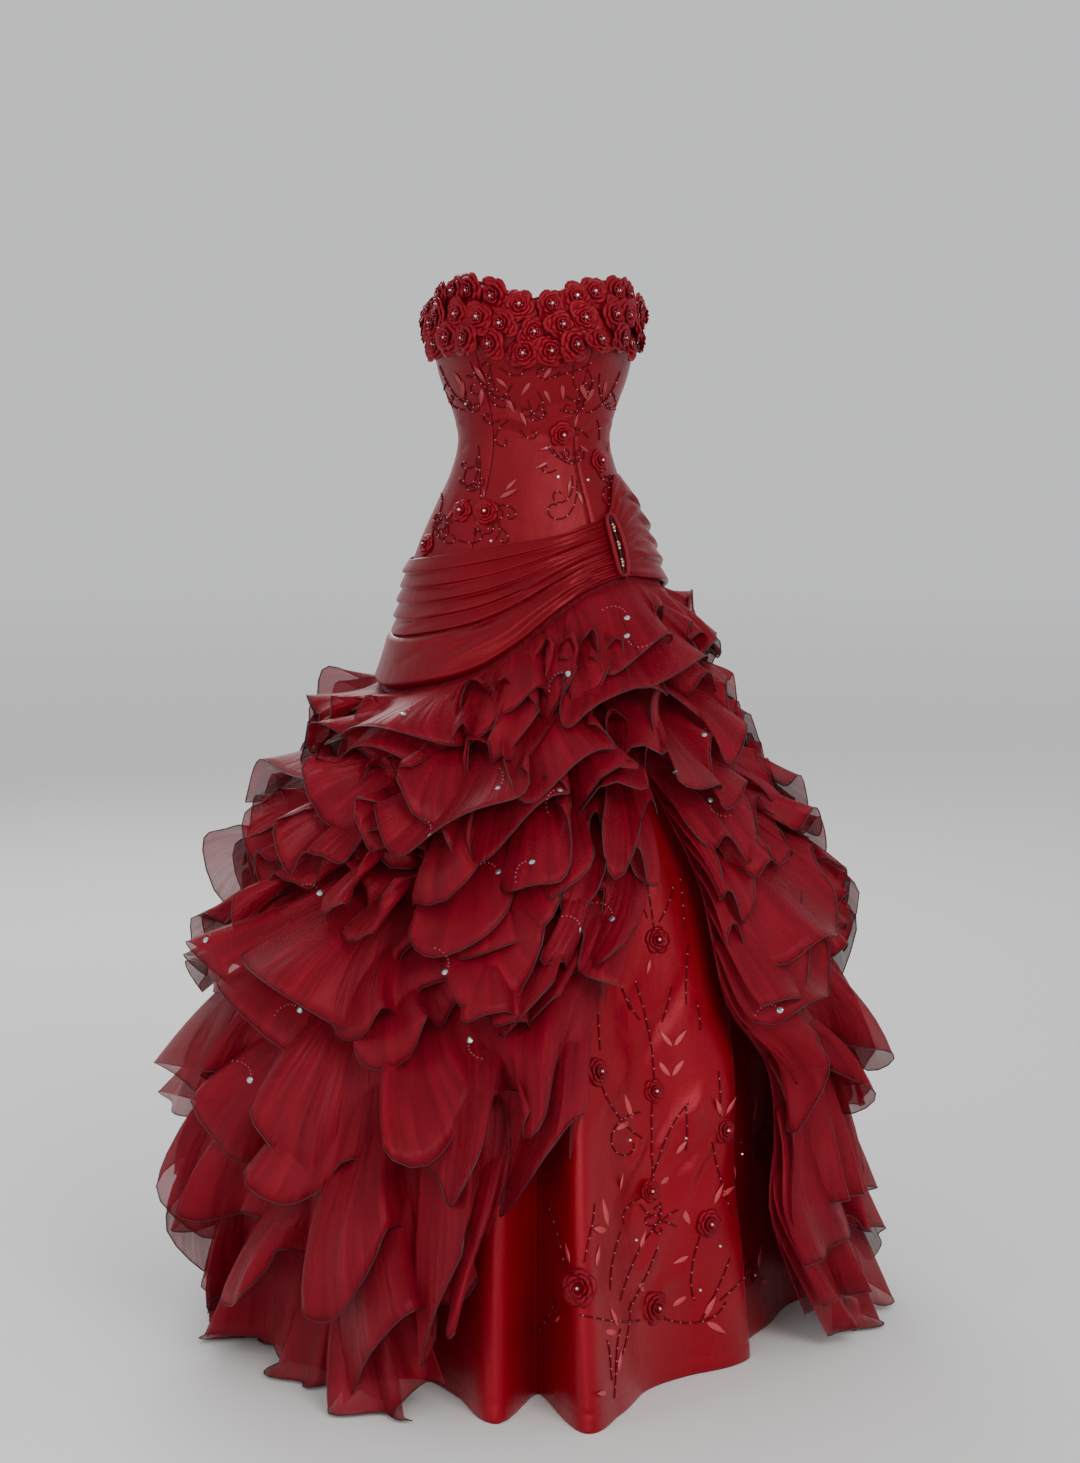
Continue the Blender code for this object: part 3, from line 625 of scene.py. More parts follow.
def build_bodice():
    """Seven satin panels, with a sunk seam between them, a row of stitching and a bound top."""
    for panel in BODICE_PANELS:

        def place(u, v, panel=panel):
            u = np.interp(u, *BODICE_CROWDING)
            angle = part_way(panel, u, BODICE_GAP)
            z = HIP_SEAM + v * (neck_height(angle) - HIP_SEAM)
            away = from_seam(panel, u, BUST_RADIUS)
            seam = ridge(away, -0.0012, 0.0022)
            stitched = ridge(away - STITCH_AWAY, 0.0005, 0.0018)
            top = ridge(neck_height(angle) - z, 0.0010, 0.004)
            creases = creased(BODICE_CREASES, angle, z, WAIST_RADIUS)
            return form(angle, z, creases + seam + stitched + top)

        piece, flat, area = piece_from_grid(panel.name + "_cloth", place, *BODICE_GRID, BODICE_SATIN)
        thicken(piece, SATIN_THICKNESS)
        declare(piece, flat, area, [panel.name])


SWAG_SHARE = 0.40
SashPart = namedtuple("SashPart", "name start end low high rows")
SASH_PARTS = rows_of(
    SashPart,
    ("sash_front_pleats", -90, 41.5, SWAG_SHARE, 1.0, 70),
    ("sash_front_swag", -90, 41.5, 0.0, SWAG_SHARE, 36),
    ("sash_side_fan", 44.5, 118, 0.0, 1.0, 80),
    ("sash_back", 118, 270, 0.0, 1.0, 64),
)
PLEAT_EDGE, SWAG_HEAD, SWAG_PARTING = 0.14, 0.12, 0.002
FRONT_TUCKS, TUCK_DEPTH, SWAG_DEPTH = 5, 0.0048, 0.0105
FAN_TUCKS, FAN_DEPTH = 5, 0.0068
FINE_DEPTH, FINE_ROWS, FINE_SLANT = 0.0019, 9, 0.08
# The angles round the back between which the fan's folds change into the front's
BACK_CHANGES = (140, 235)
SASH_GAP, SASH_RADIUS, SASH_COLUMNS = 0.03, 0.15, 0.85
SASH_CREASES = rows_of(
    Crease,
    (-74, -0.262, 20, -0.178, 0.0030, 0.0060), (-58, -0.300, 14, -0.196, -0.0035, 0.0055),
    (-40, -0.316, 22, -0.182, 0.0050, 0.0070), (-30, -0.262, 28, -0.168, -0.0048, 0.0050),
    (-20, -0.296, 26, -0.176, -0.0050, 0.0055), (-4, -0.258, 30, -0.170, 0.0045, 0.0050),
    (12, -0.212, 36, -0.166, -0.0040, 0.0042), (4, -0.160, 38, -0.132, 0.0016, 0.0030),
    (10, -0.150, 39, -0.122, -0.0016, 0.0026), (16, -0.180, 40, -0.146, 0.0016, 0.0030),
    (-50, -0.205, -20, -0.190, -0.0014, 0.0040), (47, -0.120, 84, -0.082, 0.0030, 0.0045),
    (47, -0.135, 96, -0.128, -0.0030, 0.0045), (47, -0.150, 88, -0.168, 0.0028, 0.0045),
    (47, -0.112, 66, -0.062, -0.0024, 0.0040), (130, -0.130, 200, -0.170, 0.0020, 0.0055),
    (150, -0.210, 250, -0.236, -0.0024, 0.0060), (120, -0.200, 180, -0.262, 0.0026, 0.0060),
    (200, -0.280, 262, -0.302, 0.0024, 0.0060),
)


def sash_point(angle, z, out):
    return form(angle, z, smooth(OVERSKIRT_STANDOFF, "out", z) + SASH_OUT + out)


def gather(angle):
    """How tightly the sash is drawn together at an angle: 1 beside the ring."""
    return np.exp(-(((turned(angle) - RING_ANGLE) / GATHER_SPREAD) ** 2))


def tuck(turn):
    """How far a tuck stands out, from its crisp lower fold up to the next tuck's."""
    past = np.clip((turn - PLEAT_EDGE) / (1 - PLEAT_EDGE), 0, 1)
    foot = np.sin(np.minimum(turn / PLEAT_EDGE, 1) * math.pi / 2) ** 0.8
    fall = 0.2 + 0.2 * np.cos(past * math.pi) + 0.6 * (1 - past)
    return np.where(turn < PLEAT_EDGE, foot, fall)


def swag(turn):
    """How far the loose swag stands out, from its lower fold up to its upper one."""
    past = np.clip((turn - PLEAT_EDGE) / (1 - PLEAT_EDGE), 0, 1)
    foot = np.sin(np.minimum(turn / PLEAT_EDGE, 1) * math.pi / 2) ** 0.8
    head = np.minimum((1 - turn) / SWAG_HEAD, 1) ** 0.5
    return np.where(turn < PLEAT_EDGE, foot, head * (1 - 0.25 * past))


def tucks_out(angle, share, pleats, depth):
    """How far a row of tucks stands out at angles, a share of the way up the row."""
    pleat = np.minimum(np.floor(share * pleats + 1e-6), pleats - 1)
    turn = np.clip(share * pleats - pleat, 0, 1)
    uneven = 1 + 0.22 * np.sin(np.radians(5 * angle) + 2.1 * pleat)
    return depth * uneven * tuck(turn)


def front_out(angle, share):
    """How far the front's swag and tucks stand out, a share of the way up the sash."""
    tucks = tucks_out(angle, (share - SWAG_SHARE) / (1 - SWAG_SHARE), FRONT_TUCKS, TUCK_DEPTH)
    return np.where(share < SWAG_SHARE, SWAG_DEPTH * swag(share / SWAG_SHARE), tucks)


def sash_out(angle, share):
    """The sash's folds all round: five tucks at the fan and back, which run into the front's."""
    round_back = angle % 360
    front = np.clip((round_back - BACK_CHANGES[0]) / (BACK_CHANGES[1] - BACK_CHANGES[0]), 0, 1)
    front = np.where(round_back < RING_ANGLE, 1, front)
    front = front * front * (3 - 2 * front)
    fan = tucks_out(angle, share, FAN_TUCKS, FAN_DEPTH)
    return front * front_out(angle, share) + (1 - front) * fan


def build_sash():
    """The pleated sash: soft tucks with a crisp lower fold, drawn up into creases at the ring."""
    for part in SASH_PARTS:

        def place(u, v, part=part):
            angle = part_way(part, u, SASH_GAP)
            low, high = sash_edge(angle, "bottom"), sash_edge(angle, "top")
            share = part.low + v * (part.high - part.low)
            if part.low > 0:
                share = np.maximum(share, SWAG_SHARE + SWAG_PARTING)
            if part.high < 1:
                share = np.minimum(share, SWAG_SHARE - 1e-6)
            drawn = gather(angle)
            turn = 2 * math.pi * v * part.rows / FINE_ROWS + FINE_SLANT * angle
            fine = FINE_DEPTH * drawn * np.sin(turn)
            z = low + share * (high - low)
            folds = sash_out(angle, share) * (1 - GATHER_FLATTENS * drawn)
            out = folds + fine + creased(SASH_CREASES, angle, z, SASH_RADIUS)
            return sash_point(angle, z, np.maximum(out, -0.001))

        columns = round((part.end - part.start) * SASH_COLUMNS)
        piece, flat, area = piece_from_grid(part.name + "_cloth", place, columns, part.rows,
                                            SASH_SATIN)
        thicken(piece, SASH_THICKNESS)
        declare(piece, flat, area, [part.name])


RING_HALF_HEIGHT, RING_HALF_WIDTH, RING_SQUARENESS = 0.041, 0.0095, 0.6
RING_RADIUS, RING_OUT = 0.0034, 0.0128
WRAP_RADIUS, WRAP_OUT, WRAP_LEAN = 0.00028, 1.02, 0.0009
ROD_RADIUS, ROD_GAP, JEWEL_COUNT, JEWEL_SPREAD = 0.0011, 0.0003, 3, 0.94
JewelPart = namedtuple("JewelPart", "up radius length material")
JEWEL_PARTS = rows_of(
    JewelPart,
    (0, 0.0034, 0.0046, BRASS),
    (0.0042, 0.0020, 0.0016, CRYSTAL),
    (-0.0042, 0.0020, 0.0016, CRYSTAL),
)


def build_ring():
    """The satin-covered ring that draws the sash in, and three beads down the gap in it."""
    middle = float(sash_edge(RING_ANGLE, "top") + sash_edge(RING_ANGLE, "bottom")) / 2
    side = Vector(form(RING_ANGLE + 1, middle) - form(RING_ANGLE - 1, middle)).normalized()
    front = side.cross(Vector((0, 0, 1)))

    def centre_at(z):
        return Vector(form(RING_ANGLE, z)) + front * RING_OUT

    points = []
    for turn in np.linspace(0, 2 * math.pi, 97):
        wide = math.copysign(abs(math.cos(turn)) ** RING_SQUARENESS, math.cos(turn))
        level = centre_at(middle + RING_HALF_HEIGHT * math.sin(turn))
        points.append(level + side * RING_HALF_WIDTH * wide)
    ring = cord_along(points, RING_RADIUS, SASH_SATIN, 4)
    wraps = []
    for n in range(0, 96, 4):
        along = (points[n + 1] - points[n]).normalized()
        across = along.cross(front)
        lean = along * WRAP_LEAN
        loop = []
        for a in np.linspace(0, 2 * math.pi, 11):
            out = (front * math.cos(a) + across * math.sin(a)) * RING_RADIUS * WRAP_OUT
            loop.append(points[n] + out + lean * math.sin(a))
        wraps.append(cord_along(loop, WRAP_RADIUS, ROLLED_EDGE, 0))
    join(ring, wraps)
    ring.name = "sash_ring_covered"
    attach(ring, "root")
    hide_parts("sash_ring")

    reach = RING_HALF_HEIGHT - RING_RADIUS - ROD_GAP
    levels = np.linspace(middle - reach, middle + reach, 9)
    # The rod is near black: painted shade of the gap in the ring.
    rod = cord_along([centre_at(z) for z in levels], ROD_RADIUS, GAP_PAINTED_SHADE, 2)
    jewels = []
    for n in range(JEWEL_COUNT):
        z = middle + reach * (2 * (n + 0.5) / JEWEL_COUNT - 1) * JEWEL_SPREAD
        for part in JEWEL_PARTS:
            jewel = primitive(bpy.ops.mesh.primitive_uv_sphere_add, part.material, segments=12,
                              ring_count=8, radius=1)
            jewel.data.transform(Matrix.Diagonal((part.radius, part.radius, part.length, 1)))
            jewel.data.transform(Matrix.Translation(centre_at(z + part.up)))
            jewel.data.shade_smooth()
            jewels.append(jewel)
    join(rod, jewels)
    rod.name = "jewelled_bar"
    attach(rod, "root")
    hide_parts("jewel_bar")


def underskirt_point(angle, z, out=0.0):
    return form(angle, z, fold_share(z) * smooth(HEM_FOLDS, "out", turned(angle)) + out)


UNDERSKIRT_CREASES = rows_of(
    Crease,
    (6, -0.42, 24, -1.00, 0.0040, 0.022), (30, -0.50, 36, -1.20, -0.0040, 0.020),
    (18, -0.80, 40, -1.16, 0.0030, 0.018), (44, -0.60, 48, -1.10, 0.0040, 0.024),
    (12, -0.95, 22, -1.22, -0.0030, 0.016), (10, -0.50, 14, -0.95, 0.0060, 0.013),
    (14, -0.98, 29, -0.88, 0.0095, 0.010), (18, -1.02, 32, -0.92, -0.0080, 0.009),
    (27, -0.94, 41, -0.85, 0.0095, 0.010), (30, -0.98, 43, -0.90, -0.0075, 0.009),
    (19, -1.10, 35, -1.00, 0.0085, 0.011), (10, -1.06, 20, -1.02, -0.0070, 0.009),
    (24, -0.81, 37, -0.72, -0.0080, 0.009), (11, -0.87, 22, -0.79, 0.0075, 0.009),
    (15, -0.76, 27, -0.69, 0.0065, 0.009), (36, -1.02, 46, -0.90, -0.0075, 0.011),
    (26, -1.12, 38, -1.08, 0.0060, 0.010), (33, -0.52, 43, -1.21, 0.0200, 0.045),
    (42, -0.60, 55, -1.18, 0.0160, 0.040), (-20, -0.50, -14, -1.15, 0.0035, 0.020),
    (-36, -0.60, -40, -1.20, 0.0035, 0.022), (66, -0.55, 70, -1.15, 0.0035, 0.024),
    (90, -0.50, 92, -1.20, -0.0035, 0.022), (104, -0.62, 106, -1.16, 0.0035, 0.022),
    (124, -0.50, 122, -1.20, -0.0030, 0.022), (150, -0.55, 154, -1.18, 0.0035, 0.022),
    (172, -0.50, 174, -1.20, -0.0035, 0.022), (-172, -0.55, -170, -1.18, 0.0035, 0.022),
    (-140, -0.52, -142, -1.20, -0.0035, 0.022), (-124, -0.56, -122, -1.18, 0.0035, 0.022),
    (-94, -0.50, -92, -1.20, 0.0035, 0.022), (-66, -0.55, -64, -1.16, -0.0035, 0.022),
)


# Where the columns and rows of a gore's grid fall, so that they crowd at its seams and its hem
GORE_CROWDING = ((0, 0.06, 0.94, 1), (0, 0.025, 0.975, 1))
HEM_CROWDING = ((0, 0.12, 1), (0, 0.035, 1))
SKIRT_RADIUS, HEM_STITCHING, GORE_GAP, HIP_GAP = 0.33, 0.022, 0.01, 0.0006
FRONT_GORE_GRID, GORE_GRID = (84, 126), (48, 66)


def build_underskirt():
    """Six satin gores with sunk seams and a stitched hem, finest at the front."""
    for panel in UNDERSKIRT_PANELS:

        def place(u, v, panel=panel):
            u = np.interp(u, *GORE_CROWDING)
            v = np.interp(v, *HEM_CROWDING)
            angle = part_way(panel, u, GORE_GAP)
            z = FLOOR + v * (HIP_SEAM - HIP_GAP - FLOOR)
            creases = creased(UNDERSKIRT_CREASES, angle, z, SKIRT_RADIUS)
            hem = ridge(z - FLOOR - HEM_STITCHING, -0.0009, 0.0032)
            seam = ridge(from_seam(panel, u, SKIRT_RADIUS), -0.0014, 0.003)
            return underskirt_point(angle, z, creases * (v < 1) + hem + seam)

        grid = FRONT_GORE_GRID if panel.name == "underskirt_front" else GORE_GRID
        piece, flat, area = piece_from_grid(panel.name + "_cloth", place, *grid, SKIRT_SATIN)
        thicken(piece, SATIN_THICKNESS)
        declare(piece, flat, area, [panel.name])


# How much of the overskirt's width its front edge is cut back by, where the satin fold shows
Cutback = namedtuple("Cutback", "height share")
OVERSKIRT_CUTBACK = rows_of(
    Cutback,
    (FLOOR, 0.064), (-1.08, 0.050), (-0.96, 0.026), (-0.86, 0.004), (-0.80, 0.0),
)
OVERSKIRT_GRID, SHARE_GAP = (64, 36), 0.00015
RIPPLES, RIPPLE_DEPTH, RIPPLE_SWING, RIPPLE_RATE, RIPPLE_EASE = 70, 0.0022, 2.5, 9, 9


def build_overskirt():
    """Five organza gores with fine ripples that swing from side to side."""
    for gore in OVERSKIRT_GORES:

        def place(u, v, gore=gore):
            share = part_way(gore, u, SHARE_GAP)
            top = sash_edge(overskirt_angle(share, 0), "bottom") + OVERSKIRT_TUCK
            z = OVERSKIRT_HEM + v * (top - OVERSKIRT_HEM)
            if gore.end == 1:
                share = share - u * smooth(OVERSKIRT_CUTBACK, "share", z)
            turn = 2 * math.pi * RIPPLES * share + RIPPLE_SWING * np.sin(RIPPLE_RATE * z)
            ripple = RIPPLE_DEPTH * np.sin(turn) * np.clip((top - z) * RIPPLE_EASE, 0, 1)
            return overskirt_point(share, z, ripple)

        piece, flat, area = piece_from_grid(gore.name + "_cloth", place, *OVERSKIRT_GRID,
                                            SKIRT_ORGANZA)
        thicken(piece, GORE_THICKNESS)
        declare(piece, flat, area, [gore.name])


# The ruffles' waves: how far they wander, deepen, lean over, skew and twist along a tier
TURN_WANDER, DEEP_CHANGE, SKEW, TWIST, SWIRL = 2.0, 0.50, 0.15, 1.3, 0.030
TONGUE, WAVE_GAIN, STAND_DROP, STAND_REACH, PLUMB = 0.04, 1.07, 0.72, 1.10, 0.75
# Tiers up to this hang stand out in three plies, and the lower ones hang down in two
UPPER_HANG = 0.5
Bearing = namedtuple("Bearing", "overhang frill curl")
UPPER, LOWER = Bearing(0.12, 0.0150, 0.024), Bearing(0.040, 0.0100, 0.014)
# The first tiers keep their full waves right up to the opening
CLOSED_TIERS = 2
Ply = namedtuple("Ply", "start length reach swing phase")
UPPER_PLIES = rows_of(
    Ply,
    (0.0, 0.90, 1.00, 1.0, 0.0),
    (0.34, 0.85, 0.92, 1.0, 0.62),
    (0.67, 0.75, 0.82, 0.9, 0.27),
)
LOWER_PLIES = (Ply(0.0, 1.0, 1.0, 1.0, 0.0), Ply(0.5, 0.9, 0.85, 1.0, 0.48))
# The first tier starts with a ply that hangs from the sash's edge
TOP_PLIES = (Ply(-1, 0.9, 0.75, 0.9, 0.25),) + UPPER_PLIES[:2]
# How much of the way round the two lowest tiers run, by their order
LAST_SHARE = {5: 0.965, 6: 0.925}
WAVE_COLUMNS, RUFFLE_ROWS, EDGE_RADIUS = 26, 10, 0.0009
UNEVEN_WAVES, LEAST_DROP = (2, 3, 5, 9), 0.075
# A ruffle's height and angle depend on each other, and settle in these rounds
SETTLING_ROUNDS = 5


def root_height(order, angle):
    """The height of a tier's root line, which climbs to the left and sways up and down."""
    right, left = LAST_LINE if order >= len(RUFFLE_TIERS) else RUFFLE_TIERS[order][:2]
    level = right + (1 + np.sin(np.radians(angle))) / 2 * (left - right)
    sway = SWAY * np.sin(np.radians(SWAY_WAVES * angle) + SWAY_STEP * order)
    level = level + sway * min(order * SWAY_GROWTH, 1)
    return np.minimum(level, sash_edge(angle, "bottom") - SASH_CLEAR)


def unevenness(share, order, seed):
    """A slow wander along a tier, from about -1 to 1, that never repeats round the skirt."""
    turn = 2 * math.pi * share
    waves = enumerate(UNEVEN_WAVES)
    return sum(np.sin(w * turn + 1.9 * n * order + seed * (n + 1)) for n, w in waves) / 2.6


def ruffle_point(order, share, t, ply):
    """Points of a ruffle: share runs along its root and t from the root to its edge."""
    tier = RUFFLE_TIERS[order]
    bearing = UPPER if tier.hang <= UPPER_HANG else LOWER

    def uneven(seed, changes=1):
        return unevenness(share, order, seed + changes * ply.phase)

    turn = 2 * math.pi * (tier.waves * share + tier.phase + ply.phase)
    turn = turn + TURN_WANDER * uneven(0.7)
    crest = 2 * np.abs(np.sin(turn / 2)) ** FULLNESS - 1
    deep = 1 + DEEP_CHANGE * np.maximum(uneven(2.9), -0.8)
    lean_over = bearing.overhang * deep / tier.waves * np.sin(2 * turn)
    skew = SKEW / tier.waves * uneven(4.3, 3)
    from_end = np.clip(np.minimum(share, 1 - share) / END_SPREAD, 0, 1)
    if order < CLOSED_TIERS:
        from_end = np.ones_like(share)
    round_skirt = np.radians(SWAY_WAVES * overskirt_angle(share, tier.left_root))
    swirl = SWIRL * t * np.cos(round_skirt + SWAY_STEP * order) * min(order * SWAY_GROWTH, 1)
    spread = share + (t * lean_over + t * t * skew + swirl) * from_end
    size = 1 + SIZE_CHANGE * uneven(6.1)
    frill = bearing.frill * t**1.3 * (1 + 0.4 * deep) * (
        np.sin(2.25 * turn + 2.6 * uneven(8.0)) + 0.45 * np.sin(4.25 * turn + 3.1 * uneven(9.5))
    )
    amount = tier.wave * WAVE_GAIN * ply.swing * deep * t
    stands = math.cos(math.radians(90 * tier.hang))
    hangs = math.sin(math.radians(90 * tier.hang))
    droop = min(max((tier.hang - 0.3) / 0.4, 0), 1)
    twist = TWIST * uneven(11.0) * np.sin(turn)
    up = amount * (twist * hangs - crest * stands)
    swing = amount * (crest * hangs + twist * stands)
    curl = bearing.curl * t**5 * uneven(13.0)
    z = np.full_like(share, tier.left_root)
    for _ in range(SETTLING_ROUNDS):
        angle = overskirt_angle(spread, z)
        if ply.start < 0:
            high = sash_edge(angle, "bottom") - SASH_CLEAR
            low = root_height(order, angle)
            root, drop = high, ply.length * np.maximum(high - low, LEAST_DROP)
        else:
            high, low = root_height(order, angle), root_height(order + 1, angle)
            root = high + (low - high) * ply.start
            drop = tier.drop * ply.length * (high - low) * (STAND_DROP + (1 - STAND_DROP) * droop)
        z = root - drop * t * (1 + TONGUE * crest * t * tier.hang) + up + stands * frill
    side = 1 - SIDE_LEAN * np.sin(np.radians(angle))
    side = side * (END_LIFT + (1 - END_LIFT) * from_end)
    reach = tier.reach * ply.reach * (1 - np.maximum(1 - t, 0) ** ROUNDNESS)
    reach = reach * (STAND_REACH + (1 - STAND_REACH) * droop)
    lift = side * np.maximum(size * reach + swing + hangs * frill + curl, 0.004 * t)
    z = np.maximum(z, FLOOR + HEM_CLEAR)
    angle = overskirt_angle(spread, z)
    angle = angle + PLUMB * from_end * (overskirt_angle(spread, root) - angle)
    push = fold_share(z) * smooth(FRONT_PUSH, "out", turned(angle))
    return form(angle, z, smooth(OVERSKIRT_STANDOFF, "out", z) + push + LAYER_GAP + lift)


def build_ruffles():
    """Seven tiers of gathered plies, each tier in three lengths, with a rolled edge."""
    sides = ("left", "back", "right")
    for order, tier in enumerate(RUFFLE_TIERS):
        plies = UPPER_PLIES if tier.hang <= UPPER_HANG else LOWER_PLIES
        if order == 0:
            plies = TOP_PLIES
        for n, side in enumerate(sides):
            strips, width, area = [], 0, 0
            for ply in plies:

                def place(u, v, order=order, n=n, ply=ply):
                    reached = LAST_SHARE.get(order, 1) - 2 * SHARE_GAP
                    share = SHARE_GAP + (n + u) / len(sides) * reached
                    return ruffle_point(order, share, 1 - v, ply)

                columns = round(tier.waves * WAVE_COLUMNS / len(sides))
                name = f"ruffle_{order + 1}_{side}_cloth"
                piece, flat, cloth = piece_from_grid(name, place, columns, RUFFLE_ROWS, ORGANZA,
                                                     fanned=True)
                edge = place(np.linspace(0, 1, columns + 1), np.zeros(columns + 1))
                thicken(piece, RUFFLE_THICKNESS)
                strips += [piece, cord_along(edge, EDGE_RADIUS, ROLLED_EDGE, 0)]
                width, area = max(width, flat[1]), area + cloth
            join(strips[0], strips[1:])
            declare(strips[0], (width, area / width), area,
                    [f"ruffle_{order + 1}_{side}"])


class Carrier:
    """The pieces that small things are sewn on, found by rays."""

    def __init__(self, pieces):
        graph = bpy.context.evaluated_depsgraph_get()
        self.trees = [BVHTree.FromObject(piece, graph) for piece in pieces]

    def hit(self, start, toward):
        hits = [tree.ray_cast(start, toward) for tree in self.trees]
        hits = [h for h in hits if h[0] is not None]
        return min(hits, key=lambda h: h[3]) if hits else None

    def seen_at(self, x, y):
        """The place and the normal of what the photograph's view shows at a point."""
        toward = Vector((x - PHOTO_WIDTH / 2, PHOTO_FOCUS, PHOTO_HEIGHT / 2 - y))
        toward.rotate(Euler((-CAMERA_DOWN, 0, 0)))
        hit = self.hit(CAMERA_PLACE, toward.normalized())
        return hit[:2] if hit else None


def frame_on(normal, turn=0.0):
    """Two directions across a normal: one to the side, turned by an angle, and one upward."""
    side = Vector((0, 0, 1)).cross(normal).normalized()
    side.rotate(Quaternion(normal, turn))
    return side, normal.cross(side)


def placed(shape, places):
    """One mesh of a shape set at places: each a centre, a normal, a turn and a size."""
    mesh = shape.data
    points = np.empty(len(mesh.vertices) * 3)
    mesh.vertices.foreach_get("co", points)
    points = points.reshape(-1, 3)
    faces = [list(polygon.vertices) for polygon in mesh.polygons]
    all_points, all_faces = [], []
    for n, (centre, normal, turn, size) in enumerate(places):
        side, up = frame_on(normal, turn)
        axes = np.array((side, up, normal)) * size
        all_points.append(points @ axes + np.array(centre))
        all_faces += [[corner + n * len(points) for corner in face] for face in faces]
    made = bpy.data.meshes.new(mesh.name + "_set")
    made.from_pydata(np.concatenate(all_points).tolist(), [], all_faces)
    for material in mesh.materials:
        made.materials.append(material)
    slots = [polygon.material_index for polygon in mesh.polygons]
    made.polygons.foreach_set("material_index", slots * len(places))
    smooth_faces = [polygon.use_smooth for polygon in mesh.polygons]
    made.polygons.foreach_set("use_smooth", smooth_faces * len(places))
    piece = bpy.data.objects.new(mesh.name + "_set", made)
    bpy.context.scene.collection.objects.link(piece)
    return piece


def sewn(name, slot, *parts):
    """Joins small things into one piece of trimming."""
    piece = parts[0]
    join(piece, parts[1:])
    piece.name = piece.data.name = name
    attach(piece, "root")
    return piece


PetalRing = namedtuple("PetalRing", "petals span inner outer low high curl")
# Rings of petals from the heart outwards: how many, how wide in degrees, and their profile
PETAL_RINGS = rows_of(
    PetalRing,
    (3, 160, 0.06, 0.24, 0.26, 0.60, 0.00),
    (4, 128, 0.18, 0.54, 0.18, 0.58, 0.08),
    (5, 100, 0.32, 0.86, 0.08, 0.46, 0.18),
    (5, 96, 0.44, 1.14, 0.02, 0.26, 0.16),
)


def model_rose():
    """A cloth rose one unit in radius: rings of cupped petals, whose edges curl outwards."""
    petals = []
    for order, ring in enumerate(PETAL_RINGS):
        for n in range(ring.petals):

            def place(u, v, ring=ring, n=n, order=order):
                middle = 2 * math.pi * (n + 0.37 * order) / ring.petals
                turn = middle + np.radians(ring.span) * (u - 0.5)
                rounded = 1 - 0.42 * np.abs(2 * u - 1) ** 2.4
                reach = ring.inner + (ring.outer - ring.inner) * v * rounded + 0.05 * (u - 0.5)
                rise = ring.low + (ring.high - ring.low) * v**0.8 * rounded
                rise = rise - ring.curl * np.clip((v - 0.6) / 0.4, 0, 1) ** 2
                rise = rise + 0.060 * np.sin(9 * u + 2.4 * n + order) * v
                reach = reach + 0.050 * np.sin(7 * u + 1.7 * n + 2 * order) * v
                return np.stack((reach * np.cos(turn), reach * np.sin(turn), rise), -1)

            petal = piece_from_grid("petal", place, 6, 4, ROSE_CLOTH)[0]
            thicken(petal, 0.028)
            petals.append(petal)
    heart = primitive(bpy.ops.mesh.primitive_uv_sphere_add, ROSE_CLOTH, segments=10, ring_count=6,
                      radius=0.26)
    heart.data.transform(Matrix.Translation((0, 0, 0.22)))
    heart.data.shade_smooth()
    rose = petals[0]
    join(rose, petals[1:] + [heart])
    rose.data.name = "rose"
    return rose


def model_stone(name, radius, rise, material):
    """A cut stone: eight facets and a table, on a flat back."""
    stone = primitive(bpy.ops.mesh.primitive_cone_add, material, vertices=8, radius1=radius,
                      radius2=radius * 0.5, depth=rise)
    stone.data.name = name
    stone.data.transform(Matrix.Translation((0, 0, rise / 2)))
    work_on_all(bpy.ops.mesh.quads_convert_to_tris)
    return stone


def model_bead(name, radius, material):
    bead = primitive(bpy.ops.mesh.primitive_ico_sphere_add, material, subdivisions=1, radius=radius)
    bead.data.name = name
    bead.data.shade_smooth()
    return bead


def model_fabric_leaf():
    """A folded scrap of satin one unit long, blunt and waved, that fills between roses."""

    def place(u, v):
        across = 2 * u - 1
        wide = 0.44 * np.sin(math.pi * (0.06 + 0.94 * v) ** 0.9) ** 0.55
        rise = 0.16 * np.abs(across) * np.sin(math.pi * v) + 0.05 * np.sin(7 * v + 3 * u)
        return np.stack((wide * across, v, rise + 0.05), -1)

    leaf = piece_from_grid("fabric_leaf", place, 6, 7, ROSE_CLOTH)[0]
    thicken(leaf, 0.02)
    return leaf


def model_leaf(material):
    """A leaf in satin stitch one unit long: two raised halves that meet in a vein."""

    def place(u, v):
        wide = 0.165 * np.sin(math.pi * v**0.85) * (1 - 0.3 * v)
        across = 2 * u - 1
        halves, vein = 0.075 * (1 - across**2) * np.sin(math.pi * v), ridge(across, 0.035, 0.22)
        return np.stack((wide * across + 0.06 * v * v, v, halves - vein), -1)

    leaf = piece_from_grid("leaf", place, 6, 8, material)[0]
    thicken(leaf, 0.03)
    return leaf


